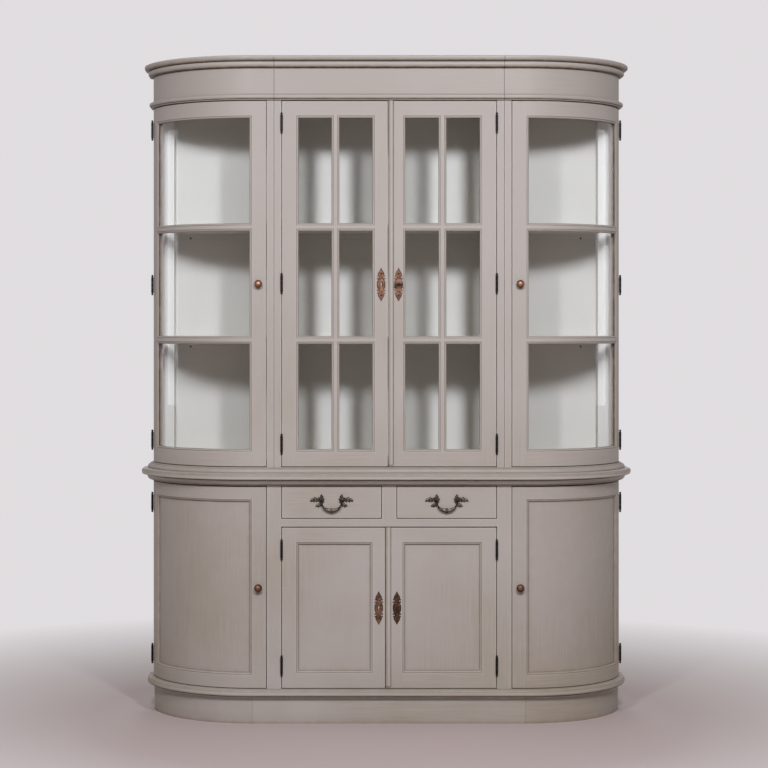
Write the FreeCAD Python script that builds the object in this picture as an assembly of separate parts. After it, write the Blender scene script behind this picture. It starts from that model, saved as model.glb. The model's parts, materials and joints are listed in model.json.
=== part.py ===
import FreeCAD, Part
import math
import os

V = FreeCAD.Vector
UP = V(0, 0, 1)

# Heights, from the ground up (millimetres)
plinth_height = 89.0
base_floor_thickness = 26.0
base_opening_height = 669.0
waist_roll_height = 20.0
waist_top_thickness = 22.0
waist_lip_height = 19.0
upper_opening_height = 1210.0
bead_height = 21.0
frieze_height = 85.0
cornice_roll_height = 22.0
cornice_thickness = 17.0

# Plan: a flat centre, a bow at each side and a short straight end behind it; a bowed door begins flat
centre_half_opening = 355.5
side_thickness = 24.0
bow_flat = 44.0
bow_width = 346.5
bow_depth = 275.0
end_depth = 75.0
end_post_width = 70.0

# How far the mouldings stand out from the door faces
plinth_setback = 3.0
base_nosing = 20.0
waist_roll_foot = 3.0
waist_roll_overhang = 21.0
waist_overhang = 40.0
waist_lip_overhang = 20.0
waist_lip_top = 6.0
bead_overhang = 14.0
cornice_roll_overhang = 17.5
cornice_overhang = 30.0
cornice_edge_radius = 6.0
moulding_fillet = 2.0
moulding_sweep = 0.4

# Board thicknesses
plinth_thickness = 22.0
back_thickness = 8.0
frieze_thickness = 22.0
waist_rail_width = 45.0
upper_board_thickness = 20.0
shelf_thickness = 18.0
shelf_setback = 10.0
base_shelf_setback = 40.0
cleat_height = 19.0
cleat_depth = 15.0
partition_thickness = 20.0
pilaster_depth = 24.0

# Doors
door_thickness = 22.0
door_gap = 2.0
meeting_gap = 3.0
stile_width = 48.0
rail_height = 50.0
bow_panel_rail = 44.0
bar_width = 12.0
sash_moulding = 7.0
sash_depth = 6.0
panel_moulding = 8.0
glass_thickness = 4.0
glass_shoulder = 10.0
glass_lap = 5.0
panel_thickness = 8.0
panel_recess = 8.0
panel_lap = 6.0
upper_meeting_x = -3.0
upper_left_meeting_stile = 44.0
upper_right_meeting_stile = 48.0
lower_meeting_x = -12.0
lower_left_meeting_stile = 42.0
lower_right_meeting_stile = 55.0
astragal_width = 17.0
astragal_height = 5.0
astragal_end = 6.0

# Drawers
drawer_opening_height = 109.0
drawer_rail_height = 26.0
drawer_divider_width = 48.0
drawer_front_thickness = 20.0
drawer_box_depth = 270.0
drawer_side_thickness = 12.0
drawer_side_height = 88.0
drawer_side_clearance = 6.0
drawer_bottom_thickness = 6.0
drawer_bottom_rise = 6.0
runner_width = 28.0
runner_height = 20.0

# Hinges
hinge_inset = 74.0
leaf_height = 54.0
leaf_width = 18.0
knuckle_radius = 4.5
knuckle_standoff = 0.2
hinge_pin_radius = 2.0
finial_radius = 3.6
finial_height = 8.0

# Knobs and escutcheons
knob_from_edge = 26.0
upper_knob_height = 1449.0
lower_knob_height = 448.0
knob_radius = 13.0
knob_projection = 24.0
knob_rose_radius = 10.0
knob_rose_thickness = 3.0
knob_neck_radius = 5.0
knob_front = 10.4
knob_back = 7.2
upper_escutcheon_height = 1447.0
lower_escutcheon_height = 381.0
escutcheon_length = 110.0
escutcheon_width = 28.0
escutcheon_thickness = 2.5
escutcheon_waist = 15.4
escutcheon_bulge = 33.0
escutcheon_shoulder = 46.0
keyhole_radius = 3.5
keyhole_slot_width = 4.0
keyhole_slot_length = 9.0

# Locks and keys
lock_width = 42.0
lock_height = 56.0
lock_depth = 13.0
lock_plate = 3.0
lock_backset = 28.0
bolt_length = 16.0
bolt_height = 14.0
bolt_depth = 7.0
key_shank_radius = 2.5
key_cavity_radius = 9.5
key_bit_reach = 8.0
key_bit_thickness = 2.0
key_bit_length = 5.0
key_neck = 9.0
key_bow_half_width = 15.0
key_bow_half_depth = 11.0
key_bow_rim = 4.0
key_bow_thickness = 3.0

# Drawer handles
handle_height = 66.0
bail_half_span = 35.0
bail_arm_x = 26.5
bail_drop = 46.0
bail_rod_radius = 2.6
bail_pin_radius = 2.0
bail_corner = 4.0
bail_curve = 16.0
bail_knot_radius = 5.0
handle_post_radius = 5.0
handle_post_length = 16.0
bail_standoff = 11.0
handle_leaf_length = 34.0
handle_leaf_width = 15.0
handle_leaf_thickness = 2.5
handle_side_leaf_length = 24.0
handle_leaf_spread = 62.0

# Clearances
curve_clearance = 0.3
slide_clearance = 0.3
pin_clearance = 0.05
leaf_clearance = 0.1
leaf_seat = 0.06
cut_margin = 2.0

# Worked out from the sizes above
pilaster_width = 2 * side_thickness
module_joint_x = centre_half_opening + side_thickness
bow_side_x = centre_half_opening + pilaster_width
bow_door_x = bow_side_x + door_gap
flat_half_width = bow_door_x + bow_flat
body_half_width = flat_half_width + bow_width
body_depth = bow_depth + end_depth
bow_radius = (bow_width**2 + bow_depth**2) / (2 * bow_depth)
bow_angle = math.atan2(bow_width, bow_radius - bow_depth)

back_y = (body_depth + waist_overhang) / 2
front_y = back_y - body_depth
bow_centre_y = front_y + bow_radius
carcass_back_y = back_y - back_thickness
post_inner_x = body_half_width - end_post_width

base_floor_z = plinth_height
base_z = base_floor_z + base_floor_thickness
waist_roll_z = base_z + base_opening_height
waist_top_z = waist_roll_z + waist_roll_height
waist_lip_z = waist_top_z + waist_top_thickness
upper_z = waist_lip_z + waist_lip_height
bead_z = upper_z + upper_opening_height
frieze_z = bead_z + bead_height
cornice_roll_z = frieze_z + frieze_height
cornice_z = cornice_roll_z + cornice_roll_height
cornice_top_z = cornice_z + cornice_thickness
drawer_z = waist_roll_z - drawer_opening_height
drawer_rail_z = drawer_z - drawer_rail_height

# The middle of the gap between a bowed door and its end post
hinge_gap_angle = bow_angle - door_gap / 2 / bow_radius
knuckle_out = knuckle_radius + knuckle_standoff


def box(x0, x1, y0, y1, z0, z1):
    """A board between the given limits."""
    return Part.makeBox(x1 - x0, y1 - y0, z1 - z0, V(x0, y0, z0))


def mirrored(shape):
    """The same shape on the other side of the middle."""
    return shape.mirror(V(0, 0, 0), V(1, 0, 0))


def both_sides(solids):
    """The solids of the right-hand side together with their left-hand twins."""
    return [mirrored(s) for s in solids] + list(solids)


def line(a, b):
    """A straight edge."""
    return Part.LineSegment(a, b).toShape()


def face_of(edges):
    """A flat face inside a closed run of edges."""
    return Part.Face(Part.Wire(Part.__sortEdges__(edges)))


def plan_slab(offset, z0, z1, y_back):
    """A level slab of the dresser's plan, its edge at an offset outside the door faces."""
    radius = bow_radius + offset
    end_x = body_half_width + offset
    end_angle = math.asin((end_x - flat_half_width) / radius)
    bow_end = [V(flat_half_width + radius * math.sin(a), bow_centre_y - radius * math.cos(a), z0)
               for a in (0, end_angle / 2, end_angle)]
    other = [V(-p.x, p.y, p.z) for p in bow_end]
    right_back = V(end_x, y_back, z0)
    left_back = V(-end_x, y_back, z0)
    outline = [line(left_back, other[2]), Part.Arc(other[2], other[1], other[0]).toShape(),
               line(other[0], bow_end[0]), Part.Arc(*bow_end).toShape(),
               line(bow_end[2], right_back), line(right_back, left_back)]
    return face_of(outline).extrude(V(0, 0, z1 - z0))


def profile_edges(profile, place):
    """Edges of a moulding's profile. Each step is an end point, or a middle and an end point for an arc."""
    edges = []
    at = profile[0]
    for step in profile[1:]:
        if isinstance(step[0], tuple):
            middle, end = step
            edges.append(Part.Arc(place(*at), place(*middle), place(*end)).toShape())
        else:
            end = step
            edges.append(line(place(*at), place(*end)))
        at = end
    return edges


def moulded_slab(profile, y_back):
    """A slab whose front, bows and ends carry a profile of (offset, height) steps, bottom to top."""
    z0 = profile[0][1]
    last = profile[-1]
    z1 = last[1][1] if isinstance(last[0], tuple) else last[1]

    def on_front(offset, z):
        return V(flat_half_width, front_y - offset, z)

    def on_end(offset, z):
        return V(body_half_width + offset, front_y - bow_radius, z)

    edges = profile_edges(profile, on_front)
    end_offset = last[1][0] if isinstance(last[0], tuple) else last[0]
    start, end = on_front(*profile[0]), on_front(end_offset, z1)
    axis_low = V(flat_half_width, bow_centre_y, z0)
    axis_high = V(flat_half_width, bow_centre_y, z1)
    section = face_of(edges + [line(end, axis_high), line(axis_high, axis_low), line(axis_low, start)])
    front = section.extrude(V(-2 * flat_half_width, 0, 0))
    bow = section.revolve(axis_low, UP, 90)
    bowed = front.fuse([bow, mirrored(bow)]).removeSplitter()

    right = profile_edges(profile, on_end)
    left = [mirrored(e) for e in right]
    low, high = on_end(*profile[0]), on_end(end_offset, z1)
    across = [line(low, V(-low.x, low.y, low.z)), line(high, V(-high.x, high.y, high.z))]
    ends = face_of(right + left + across)
    return bowed.common(ends.extrude(V(0, y_back - low.y, 0)))


def between(shape, x0, x1):
    """The solids of a shape between two upright planes."""
    bounds = shape.BoundBox
    return shape.common(box(x0, x1, bounds.YMin - cut_margin, bounds.YMax + cut_margin,
                            bounds.ZMin - cut_margin, bounds.ZMax + cut_margin)).Solids


def in_three(shape, joint_x):
    """A shape cut at both joints into its left, centre and right solids."""
    reach = shape.BoundBox.XMax + cut_margin
    solids = []
    for x0, x1 in ((-reach, -joint_x), (-joint_x, joint_x), (joint_x, reach)):
        solids += between(shape, x0, x1)
    return solids


def polar(radius, angle, z):
    """A point of the right-hand bow, its angle counted from the flat front outwards."""
    return V(flat_half_width + radius * math.sin(angle), bow_centre_y - radius * math.cos(angle), z)


def sector(r0, r1, a0, a1, z0, z1):
    """A curved board of the right-hand bow."""
    middle = (a0 + a1) / 2
    outer = Part.Arc(polar(r1, a0, z0), polar(r1, middle, z0), polar(r1, a1, z0)).toShape()
    inner = Part.Arc(polar(r0, a1, z0), polar(r0, middle, z0), polar(r0, a0, z0)).toShape()
    outline = [outer, line(polar(r1, a1, z0), polar(r0, a1, z0)), inner,
               line(polar(r0, a0, z0), polar(r1, a0, z0))]
    return face_of(outline).extrude(V(0, 0, z1 - z0))


def bow_pocket(a0, a1, z0, z1, width, depth):
    """The sloping sides cut round a sight opening in a bowed door."""
    low_r = bow_radius - depth
    high_r = bow_radius + cut_margin
    spread = width * (depth + cut_margin) / depth
    turn = spread / bow_radius
    start = a0 - 2 * turn
    steps = [polar(low_r, start, z0), polar(low_r, start, z1),
             polar(high_r, start, z1 + spread), polar(high_r, start, z0 - spread)]
    trapezium = face_of([line(steps[i], steps[(i + 1) % 4]) for i in range(4)])
    ring = trapezium.revolve(V(flat_half_width, bow_centre_y, 0), UP, math.degrees(a1 - a0 + 4 * turn))
    floor_z = z0 - 2 * spread
    middle = (a0 + a1) / 2
    outer = Part.Arc(polar(high_r, a0 - turn, floor_z), polar(high_r, middle, floor_z),
                     polar(high_r, a1 + turn, floor_z)).toShape()
    inner = Part.Arc(polar(low_r, a1, floor_z), polar(low_r, middle, floor_z),
                     polar(low_r, a0, floor_z)).toShape()
    outline = [outer, line(polar(high_r, a1 + turn, floor_z), polar(low_r, a1, floor_z)), inner,
               line(polar(low_r, a0, floor_z), polar(high_r, a0 - turn, floor_z))]
    return ring.common(face_of(outline).extrude(V(0, 0, z1 - z0 + 4 * spread)))


def flat_pocket(x0, x1, z0, z1, width, depth):
    """The sloping sides cut round a sight opening in a flat door."""
    spread = width * (depth + cut_margin) / depth

    def rectangle(grow, y):
        corners = [V(x0 - grow, y, z0 - grow), V(x1 + grow, y, z0 - grow),
                   V(x1 + grow, y, z1 + grow), V(x0 - grow, y, z1 + grow)]
        return Part.Wire([line(corners[i], corners[(i + 1) % 4]) for i in range(4)])

    return Part.makeLoft([rectangle(0, front_y + depth), rectangle(spread, front_y - cut_margin)], True, True)


def sight_rows(z0, z1, moulding):
    """Lower and upper edges of three equal sight openings, one above another."""
    low = z0 + rail_height + moulding
    high = z1 - rail_height - moulding
    bar = bar_width + 2 * moulding
    tall = (high - low - 2 * bar) / 3
    return [(low + i * (tall + bar), low + i * (tall + bar) + tall) for i in range(3)]


def divided(left, right):
    """The limits of two sight openings side by side."""
    middle = (left + right) / 2
    half_bar = bar_width / 2 + sash_moulding
    return [(left, middle - half_bar), (middle + half_bar, right)]


class FlatDoor:
    """A flat door: its limits, its two stiles, and the sight openings inside them."""

    def __init__(self, x0, x1, z0, z1, left_stile, right_stile, moulding):
        self.x0 = x0
        self.x1 = x1
        self.z0 = z0
        self.z1 = z1
        self.moulding = moulding
        self.left = x0 + left_stile + moulding
        self.right = x1 - right_stile - moulding
        self.back = front_y + door_thickness

    def slab(self, x0, x1, z0, z1, near, far):
        """A board behind the door face, between two depths."""
        return box(x0, x1, front_y + near, front_y + far, z0, z1)

    def members(self, columns, rows, lap, near, far):
        """Stiles, rails and bars, with a groove or rebate of a given lap round each opening."""
        frame = self.slab(self.x0, self.x1, self.z0, self.z1, 0, door_thickness)
        for z0, z1 in rows:
            for x0, x1 in columns:
                frame = frame.cut([
                    self.slab(x0, x1, z0, z1, -cut_margin, door_thickness + cut_margin),
                    self.slab(x0 - lap, x1 + lap, z0 - lap, z1 + lap, near, far),
                    flat_pocket(x0, x1, z0, z1, self.moulding, sash_depth)])
        solids = between(frame, self.x0, self.left) + between(frame, self.right, self.x1)
        inside = frame.common(self.slab(self.left, self.right, self.z0, self.z1, 0, door_thickness))
        edges = [self.z0] + [z for row in rows for z in row] + [self.z1]
        for low, high in zip(edges[0::2], edges[1::2]):
            solids += inside.common(self.slab(self.left, self.right, low, high, 0, door_thickness)).Solids
        if len(columns) > 1:
            for low, high in rows:
                solids += inside.common(self.slab(columns[0][1], columns[1][0], low, high,
                                                  0, door_thickness)).Solids
        return solids

    def glazed(self):
        """Frame members and panes of a sash with six lights."""
        columns = divided(self.left, self.right)
        rows = sight_rows(self.z0, self.z1, self.moulding)
        frame = self.members(columns, rows, glass_lap, glass_shoulder, door_thickness + cut_margin)
        panes = [self.slab(x0 - glass_lap, x1 + glass_lap, z0 - glass_lap, z1 + glass_lap,
                           glass_shoulder, glass_shoulder + glass_thickness)
                 for z0, z1 in rows for x0, x1 in columns]
        return frame, panes

    def panelled(self):
        """Frame members and the flat panel of a cupboard door."""
        columns = [(self.left, self.right)]
        rows = [(self.z0 + rail_height + self.moulding, self.z1 - rail_height - self.moulding)]
        frame = self.members(columns, rows, panel_lap, panel_recess, panel_recess + panel_thickness)
        (x0, x1), (z0, z1) = columns[0], rows[0]
        panel = self.slab(x0 - panel_lap, x1 + panel_lap, z0 - panel_lap, z1 + panel_lap,
                          panel_recess, panel_recess + panel_thickness)
        return frame, [panel]


class BowDoor:
    """A bowed door of the right-hand end, flat along its free edge: its limits and its sight openings."""

    def __init__(self, z0, z1, moulding):
        self.a1 = bow_angle - door_gap / bow_radius
        self.z0 = z0
        self.z1 = z1
        self.moulding = moulding
        self.left = (stile_width + moulding - bow_flat) / bow_radius
        self.right = self.a1 - (stile_width + moulding) / bow_radius

    def slab(self, a0, a1, z0, z1, near, far):
        """A curved board behind the door face, between two depths."""
        return sector(bow_radius - far, bow_radius - near, a0, a1, z0, z1)

    def from_free_edge(self, a1):
        """The whole thickness of the door from its free edge, over the flat strip, to an angle of the bow."""
        strip = box(bow_door_x, flat_half_width, front_y, front_y + door_thickness, self.z0, self.z1)
        return strip.fuse(self.slab(0, a1, self.z0, self.z1, 0, door_thickness)).removeSplitter()

    def members(self, rows, lap, near, far):
        """Stiles, rails and bars, with a groove or rebate of a given lap round each opening."""
        frame = self.from_free_edge(self.a1)
        turn = lap / bow_radius
        for z0, z1 in rows:
            frame = frame.cut([
                self.slab(self.left, self.right, z0, z1, -cut_margin, door_thickness + cut_margin),
                self.slab(self.left - turn, self.right + turn, z0 - lap, z1 + lap, near, far),
                bow_pocket(self.left, self.right, z0, z1, self.moulding, sash_depth)])
        solids = frame.common(self.from_free_edge(self.left)).Solids
        solids += frame.common(self.slab(self.right, self.a1, self.z0, self.z1, 0, door_thickness)).Solids
        edges = [self.z0] + [z for row in rows for z in row] + [self.z1]
        for low, high in zip(edges[0::2], edges[1::2]):
            solids += frame.common(self.slab(self.left, self.right, low, high, 0, door_thickness)).Solids
        return solids

    def infill(self, rows, lap, near, thickness):
        """Curved panes or a panel lying in the rebate or groove of each opening."""
        turn = (lap - curve_clearance) / bow_radius
        reach = lap - curve_clearance
        return [self.slab(self.left - turn, self.right + turn, z0 - reach, z1 + reach,
                          near + curve_clearance, near + curve_clearance + thickness) for z0, z1 in rows]

    def glazed(self):
        """Frame members and panes of a bowed sash with three lights."""
        rows = sight_rows(self.z0, self.z1, self.moulding)
        frame = self.members(rows, glass_lap, glass_shoulder, door_thickness + cut_margin)
        return frame, self.infill(rows, glass_lap, glass_shoulder, glass_thickness)

    def panelled(self):
        """Frame members and the curved panel of a bowed cupboard door."""
        rows = [(self.z0 + bow_panel_rail + self.moulding, self.z1 - bow_panel_rail - self.moulding)]
        groove = panel_thickness + 2 * curve_clearance
        frame = self.members(rows, panel_lap, panel_recess, panel_recess + groove)
        return frame, self.infill(rows, panel_lap, panel_recess, panel_thickness)


def hinge_pair(z):
    """Frame leaf and door leaf of a loose-pin hinge at the origin: door on -X, frame on +X, front on -Y."""
    segment = leaf_height / 3
    half = leaf_height / 2
    edge = door_gap / 2 - leaf_seat
    axis = V(0, -knuckle_out, 0)

    def knuckle(z0, z1, radius):
        return Part.makeCylinder(radius, z1 - z0, axis + V(0, 0, z0), UP)

    frame = box(leaf_clearance, edge, 0, leaf_width, -half, half)
    frame = frame.fuse(knuckle(-half, half, hinge_pin_radius))
    for z0, z1 in ((-half, -segment / 2 - slide_clearance), (segment / 2 + slide_clearance, half)):
        frame = frame.fuse([knuckle(z0, z1, knuckle_radius),
                            box(leaf_clearance, edge, -knuckle_out, 0, z0, z1)])
    for end, way in ((half, UP), (-half, UP * -1)):
        frame = frame.fuse(Part.makeCone(finial_radius, finial_radius / 3, finial_height,
                                         axis + V(0, 0, end), way))
    door = box(-edge, -leaf_clearance, 0, leaf_width, -half, half)
    door = door.fuse([knuckle(-segment / 2, segment / 2, knuckle_radius),
                      box(-edge, -leaf_clearance, -knuckle_out, 0, -segment / 2, segment / 2)])
    door = door.cut(knuckle(-half, half, hinge_pin_radius + pin_clearance))
    for leaf in (frame, door):
        leaf.translate(V(0, 0, z))
    return frame.removeSplitter(), door.removeSplitter()


def hinges(heights, place, angle):
    """Frame leaves and door leaves at several heights, turned to face the bow where they sit."""
    pairs = [hinge_pair(z) for z in heights]
    for pair in pairs:
        for leaf in pair:
            leaf.rotate(V(0, 0, 0), UP, math.degrees(angle))
            leaf.translate(place)
    return [frame for frame, door in pairs], [door for frame, door in pairs]


def bow_knob(z):
    """A turned knob on its rose, on the flat free stile of the right-hand bowed door."""
    ball_centre = knob_projection - knob_front
    base = V(0, 0, 0)
    out = V(0, -1, 0)
    rose = Part.makeCylinder(knob_rose_radius, knob_rose_thickness, base, out)
    neck = Part.makeCylinder(knob_neck_radius, ball_centre, base, out)
    ball = Part.makeSphere(knob_radius)
    ball = ball.common(box(-knob_radius, knob_radius, -knob_front, knob_back, -knob_radius, knob_radius))
    ball.translate(out * ball_centre)
    knob = rose.fuse([neck, ball]).removeSplitter()
    knob.translate(V(bow_door_x + knob_from_edge, front_y, z))
    return knob


def escutcheon(x, z):
    """A long lancet-ended plate with a bulged middle and a keyhole."""
    half = escutcheon_length / 2
    wide = escutcheon_width / 2
    waist = escutcheon_waist / 2
    bulge = escutcheon_bulge / 2
    shoulder = escutcheon_shoulder / 2
    right = [(0, -half), (waist, -shoulder), (waist, -bulge), (wide, 0), (waist, bulge),
             (waist, shoulder), (0, half)]
    left = [(-a, b) for a, b in reversed(right[1:-1])]
    outline = [V(x + a, front_y, z + b) for a, b in right + left]
    count = len(outline)
    plate = face_of([line(outline[i], outline[(i + 1) % count]) for i in range(count)])
    plate = plate.extrude(V(0, -escutcheon_thickness, 0))
    eye = Part.makeCylinder(keyhole_radius, escutcheon_thickness + 2 * cut_margin,
                            V(x, front_y + cut_margin, z), V(0, -1, 0))
    slot = box(x - keyhole_slot_width / 2, x + keyhole_slot_width / 2,
               front_y - escutcheon_thickness - cut_margin, front_y + cut_margin, z - keyhole_slot_length, z)
    return plate.cut([eye, slot])


def along_y(radius, x, z, y0, y1):
    """A round bar or hole that runs front to back."""
    return Part.makeCylinder(radius, y1 - y0, V(x, y0, z), V(0, 1, 0))


def lock(x, z):
    """Lock case and bolt on the back of a meeting stile, for a key on the given axis."""
    front = front_y + door_thickness
    back = front + lock_depth
    left = x - lock_backset
    case = box(left, left + lock_width, front, back, z - lock_height / 2, z + lock_height / 2)
    bolt_front = front + lock_plate
    channel = box(left - cut_margin, left + bolt_length + slide_clearance, bolt_front - slide_clearance,
                  bolt_front + bolt_depth + slide_clearance, z - bolt_height / 2 - slide_clearance,
                  z + bolt_height / 2 + slide_clearance)
    cavity = along_y(key_cavity_radius, x, z, front + lock_plate, back - lock_plate)
    bore = along_y(key_shank_radius + pin_clearance, x, z,
                   front - cut_margin, front + lock_plate + cut_margin)
    case = case.cut([channel, cavity, bore])
    bolt = box(left, left + bolt_length, bolt_front, bolt_front + bolt_depth,
               z - bolt_height / 2, z + bolt_height / 2)
    return case, bolt


def key(x, z, upright):
    """A key whose shank reaches into the lock and whose open bow stands clear of the door."""
    front = front_y + door_thickness
    bow_near = front_y - key_neck
    shank = along_y(key_shank_radius, x, z, bow_near - key_bow_rim / 2, front + lock_depth - 2 * lock_plate)
    middle = V(0, bow_near - key_bow_half_depth, 0)

    def oval(half_width, half_depth):
        edge = Part.Ellipse(middle, half_width, half_depth).toShape()
        plate = Part.Face(Part.Wire([edge])).extrude(V(0, 0, key_bow_thickness))
        plate.translate(V(0, 0, -key_bow_thickness / 2))
        return plate

    bow = oval(key_bow_half_width, key_bow_half_depth)
    bow = bow.cut(oval(key_bow_half_width - key_bow_rim, key_bow_half_depth - key_bow_rim))
    bit_front = front + lock_plate + slide_clearance
    bit = box(0, key_bit_reach, bit_front, bit_front + key_bit_length,
              -key_bit_thickness / 2, key_bit_thickness / 2)
    turned = bow.fuse(bit)
    if upright:
        turned.rotate(V(0, 0, 0), V(0, 1, 0), 90)
    turned.translate(V(x, 0, z))
    return shank.fuse(turned).removeSplitter()


def leaf_plate(length, angle):
    """One pointed leaf of a handle plate, growing from the origin in the plane of the drawer front."""
    tip = V(length, 0, 0)
    bulge = handle_leaf_width / 2
    upper = Part.Arc(V(0, 0, 0), V(length / 2, 0, bulge), tip).toShape()
    lower = Part.Arc(tip, V(length / 2, 0, -bulge), V(0, 0, 0)).toShape()
    leaf = face_of([upper, lower]).extrude(V(0, -handle_leaf_thickness, 0))
    leaf.rotate(V(0, 0, 0), V(0, 1, 0), -angle)
    return leaf


def handle_plates(x, z):
    """The pair of leaf-shaped plates of a drawer handle, each with the post that carries the bail."""
    plate = leaf_plate(handle_leaf_length, 0)
    plate = plate.fuse([leaf_plate(handle_side_leaf_length, handle_leaf_spread),
                        leaf_plate(handle_side_leaf_length, -handle_leaf_spread)])
    plate = plate.fuse(along_y(handle_post_radius, 0, 0, -handle_post_length, 0)).removeSplitter()
    eye = Part.makeCylinder(bail_pin_radius + pin_clearance, 2 * handle_post_radius,
                            V(-handle_post_radius - cut_margin, -bail_standoff, 0), V(1, 0, 0))
    plate = plate.cut(eye)
    right = plate.copy()
    right.translate(V(x + bail_half_span, front_y, z))
    left = mirrored(plate)
    left.translate(V(x - bail_half_span, front_y, z))
    return [left, right]


def bail(x, z):
    """A drop bail: pins into both posts, two arms, round corners and a knot in the middle of the grip."""
    bottom = -bail_drop + bail_rod_radius
    pin_x = bail_arm_x + bail_corner
    grip_x = bail_arm_x - bail_curve
    arm_foot = bottom + bail_curve

    def rod(start, way, length):
        return Part.makeCylinder(bail_pin_radius, length, start, way)

    def bend(start, way, centre, turn):
        ring = Part.Face(Part.Wire([Part.Circle(start, way, bail_pin_radius).toShape()]))
        return ring.revolve(centre, V(0, 1, 0), turn)

    half = [rod(V(pin_x, 0, 0), V(1, 0, 0), bail_half_span + handle_post_radius - pin_x - bail_pin_radius),
            bend(V(pin_x, 0, 0), V(1, 0, 0), V(pin_x, 0, -bail_corner), -90),
            rod(V(bail_arm_x, 0, arm_foot), UP, -bail_corner - arm_foot),
            bend(V(bail_arm_x, 0, arm_foot), UP, V(grip_x, 0, arm_foot), 90)]
    knot_x = math.sqrt(bail_knot_radius**2 - bail_rod_radius**2)
    rim = bottom + bail_rod_radius
    run = [V(-grip_x, 0, bottom), V(-grip_x, 0, rim), V(-knot_x, 0, rim),
           V(knot_x, 0, rim), V(grip_x, 0, rim), V(grip_x, 0, bottom)]
    knot = Part.Arc(run[2], V(0, 0, bottom + bail_knot_radius), run[3]).toShape()
    outline = face_of([line(run[0], run[1]), line(run[1], run[2]), knot, line(run[3], run[4]),
                       line(run[4], run[5]), line(run[5], run[0])])
    grip = outline.revolve(run[0], V(1, 0, 0), 360)
    whole = grip.fuse(both_sides(half)).removeSplitter()
    whole.translate(V(x, front_y - bail_standoff, z))
    return whole


def arc_step(start, end, out):
    """A round step of a profile from one point to the next, bulging out (or in, below zero) by a share."""
    (d0, z0), (d1, z1) = start, end
    middle = ((d0 + d1) / 2 + out * (z1 - z0) / 2, (z0 + z1) / 2 - out * (d1 - d0) / 2)
    return middle, end


parts = {}


def keep(name, solids):
    """Puts a piece, or a group of like pieces, on the list of parts."""
    parts[name] = list(solids)


# Plinth: front board, bowed ends with their straight returns, back rail
plinth_ring = plan_slab(-plinth_setback, 0, plinth_height, back_y)
plinth_ring = plinth_ring.cut(plan_slab(-plinth_setback - plinth_thickness, 0, plinth_height, back_y))
plinth_rail = box(-body_half_width + plinth_setback + plinth_thickness,
                  body_half_width - plinth_setback - plinth_thickness,
                  back_y - plinth_thickness, back_y, 0, plinth_height)
keep("plinth", in_three(plinth_ring, flat_half_width) + [plinth_rail])

# Base floor with a half-round nosing
nose_start = base_nosing - base_floor_thickness / 2
keep("base_floor", [moulded_slab([
    (nose_start, base_floor_z),
    ((base_nosing, base_floor_z + base_floor_thickness / 2), (nose_start, base_z))], back_y)])

# End posts, their front faces in line with the ends of the bowed doors
post_corner = polar(bow_radius, bow_angle, 0)
post_slope = math.cos(bow_angle) / math.sin(bow_angle)
post_plan = [post_corner, V(post_inner_x, post_corner.y + end_post_width * post_slope, 0),
             V(post_inner_x, carcass_back_y, 0), V(body_half_width, carcass_back_y, 0)]
post_face = face_of([line(post_plan[i], post_plan[(i + 1) % 4]) for i in range(4)])
posts = []
for z, height in ((base_z, base_opening_height), (upper_z, upper_opening_height)):
    post = post_face.extrude(V(0, 0, height))
    post.translate(V(0, 0, z))
    posts += both_sides([post])
keep("end_posts", posts)

# Pilasters of the base and the partitions behind them
partition_x = centre_half_opening + (pilaster_width - partition_thickness) / 2
keep("base_uprights", both_sides([
    box(centre_half_opening, bow_side_x, front_y, front_y + pilaster_depth, base_z, waist_roll_z),
    box(partition_x, partition_x + partition_thickness, front_y + pilaster_depth, carcass_back_y,
        base_z, waist_roll_z)]))

# Drawer rail and divider, and the runners that the drawers slide on
half_divider = drawer_divider_width / 2
runner_front = front_y + pilaster_depth
keep("drawer_frame", [
    box(-centre_half_opening, centre_half_opening, front_y, runner_front, drawer_rail_z, drawer_z),
    box(-half_divider, half_divider, front_y, runner_front, drawer_z, waist_roll_z),
    box(-half_divider - runner_width, half_divider + runner_width, runner_front, carcass_back_y,
        drawer_z - runner_height, drawer_z)] + both_sides([
            box(centre_half_opening - runner_width, partition_x, runner_front, carcass_back_y,
                drawer_z - runner_height, drawer_z)]))

# Shelves and the boards that close the upper modules; bowed ones follow the doors


def level_boards(offset, z, thickness, centre_x, bow_x):
    """One level of boards: the centre one and a bowed one at each end."""
    whole = plan_slab(offset, z, z + thickness, carcass_back_y)
    return between(whole, -centre_x, centre_x) + both_sides(between(whole, bow_x, post_inner_x))


upper_rows = sight_rows(upper_z + door_gap, bead_z - door_gap, sash_moulding)
shelf_levels = [(upper_rows[i][1] + upper_rows[i + 1][0] - shelf_thickness) / 2 for i in range(2)]
base_shelf_z = (base_z + drawer_rail_z) / 2
partition_end_x = partition_x + partition_thickness
shelf_solids = []
for level in shelf_levels:
    shelf_solids += level_boards(-door_thickness - shelf_setback, level, shelf_thickness,
                                 centre_half_opening, bow_side_x)
shelf_solids += level_boards(-door_thickness - base_shelf_setback, base_shelf_z, shelf_thickness,
                             partition_x, partition_end_x)
keep("shelves", shelf_solids)

cleats = []
cleat_levels = [(level, centre_half_opening, bow_side_x) for level in shelf_levels]
cleat_levels += [(base_shelf_z, partition_x, partition_end_x)]
for level, centre_x, bow_x in cleat_levels:
    low = level - cleat_height
    near = carcass_back_y - cleat_depth
    cleats += [box(-centre_x, centre_x, near, carcass_back_y, low, level)]
    cleats += both_sides([box(bow_x, post_inner_x, near, carcass_back_y, low, level)])
keep("shelf_cleats", cleats)

upper_boards = level_boards(-door_thickness - door_gap, upper_z, upper_board_thickness,
                            centre_half_opening, bow_side_x)
top_board = plan_slab(-frieze_thickness - curve_clearance, bead_z, bead_z + upper_board_thickness,
                      carcass_back_y)
upper_boards += in_three(top_board, module_joint_x)
keep("upper_floors_and_tops", upper_boards)

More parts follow.
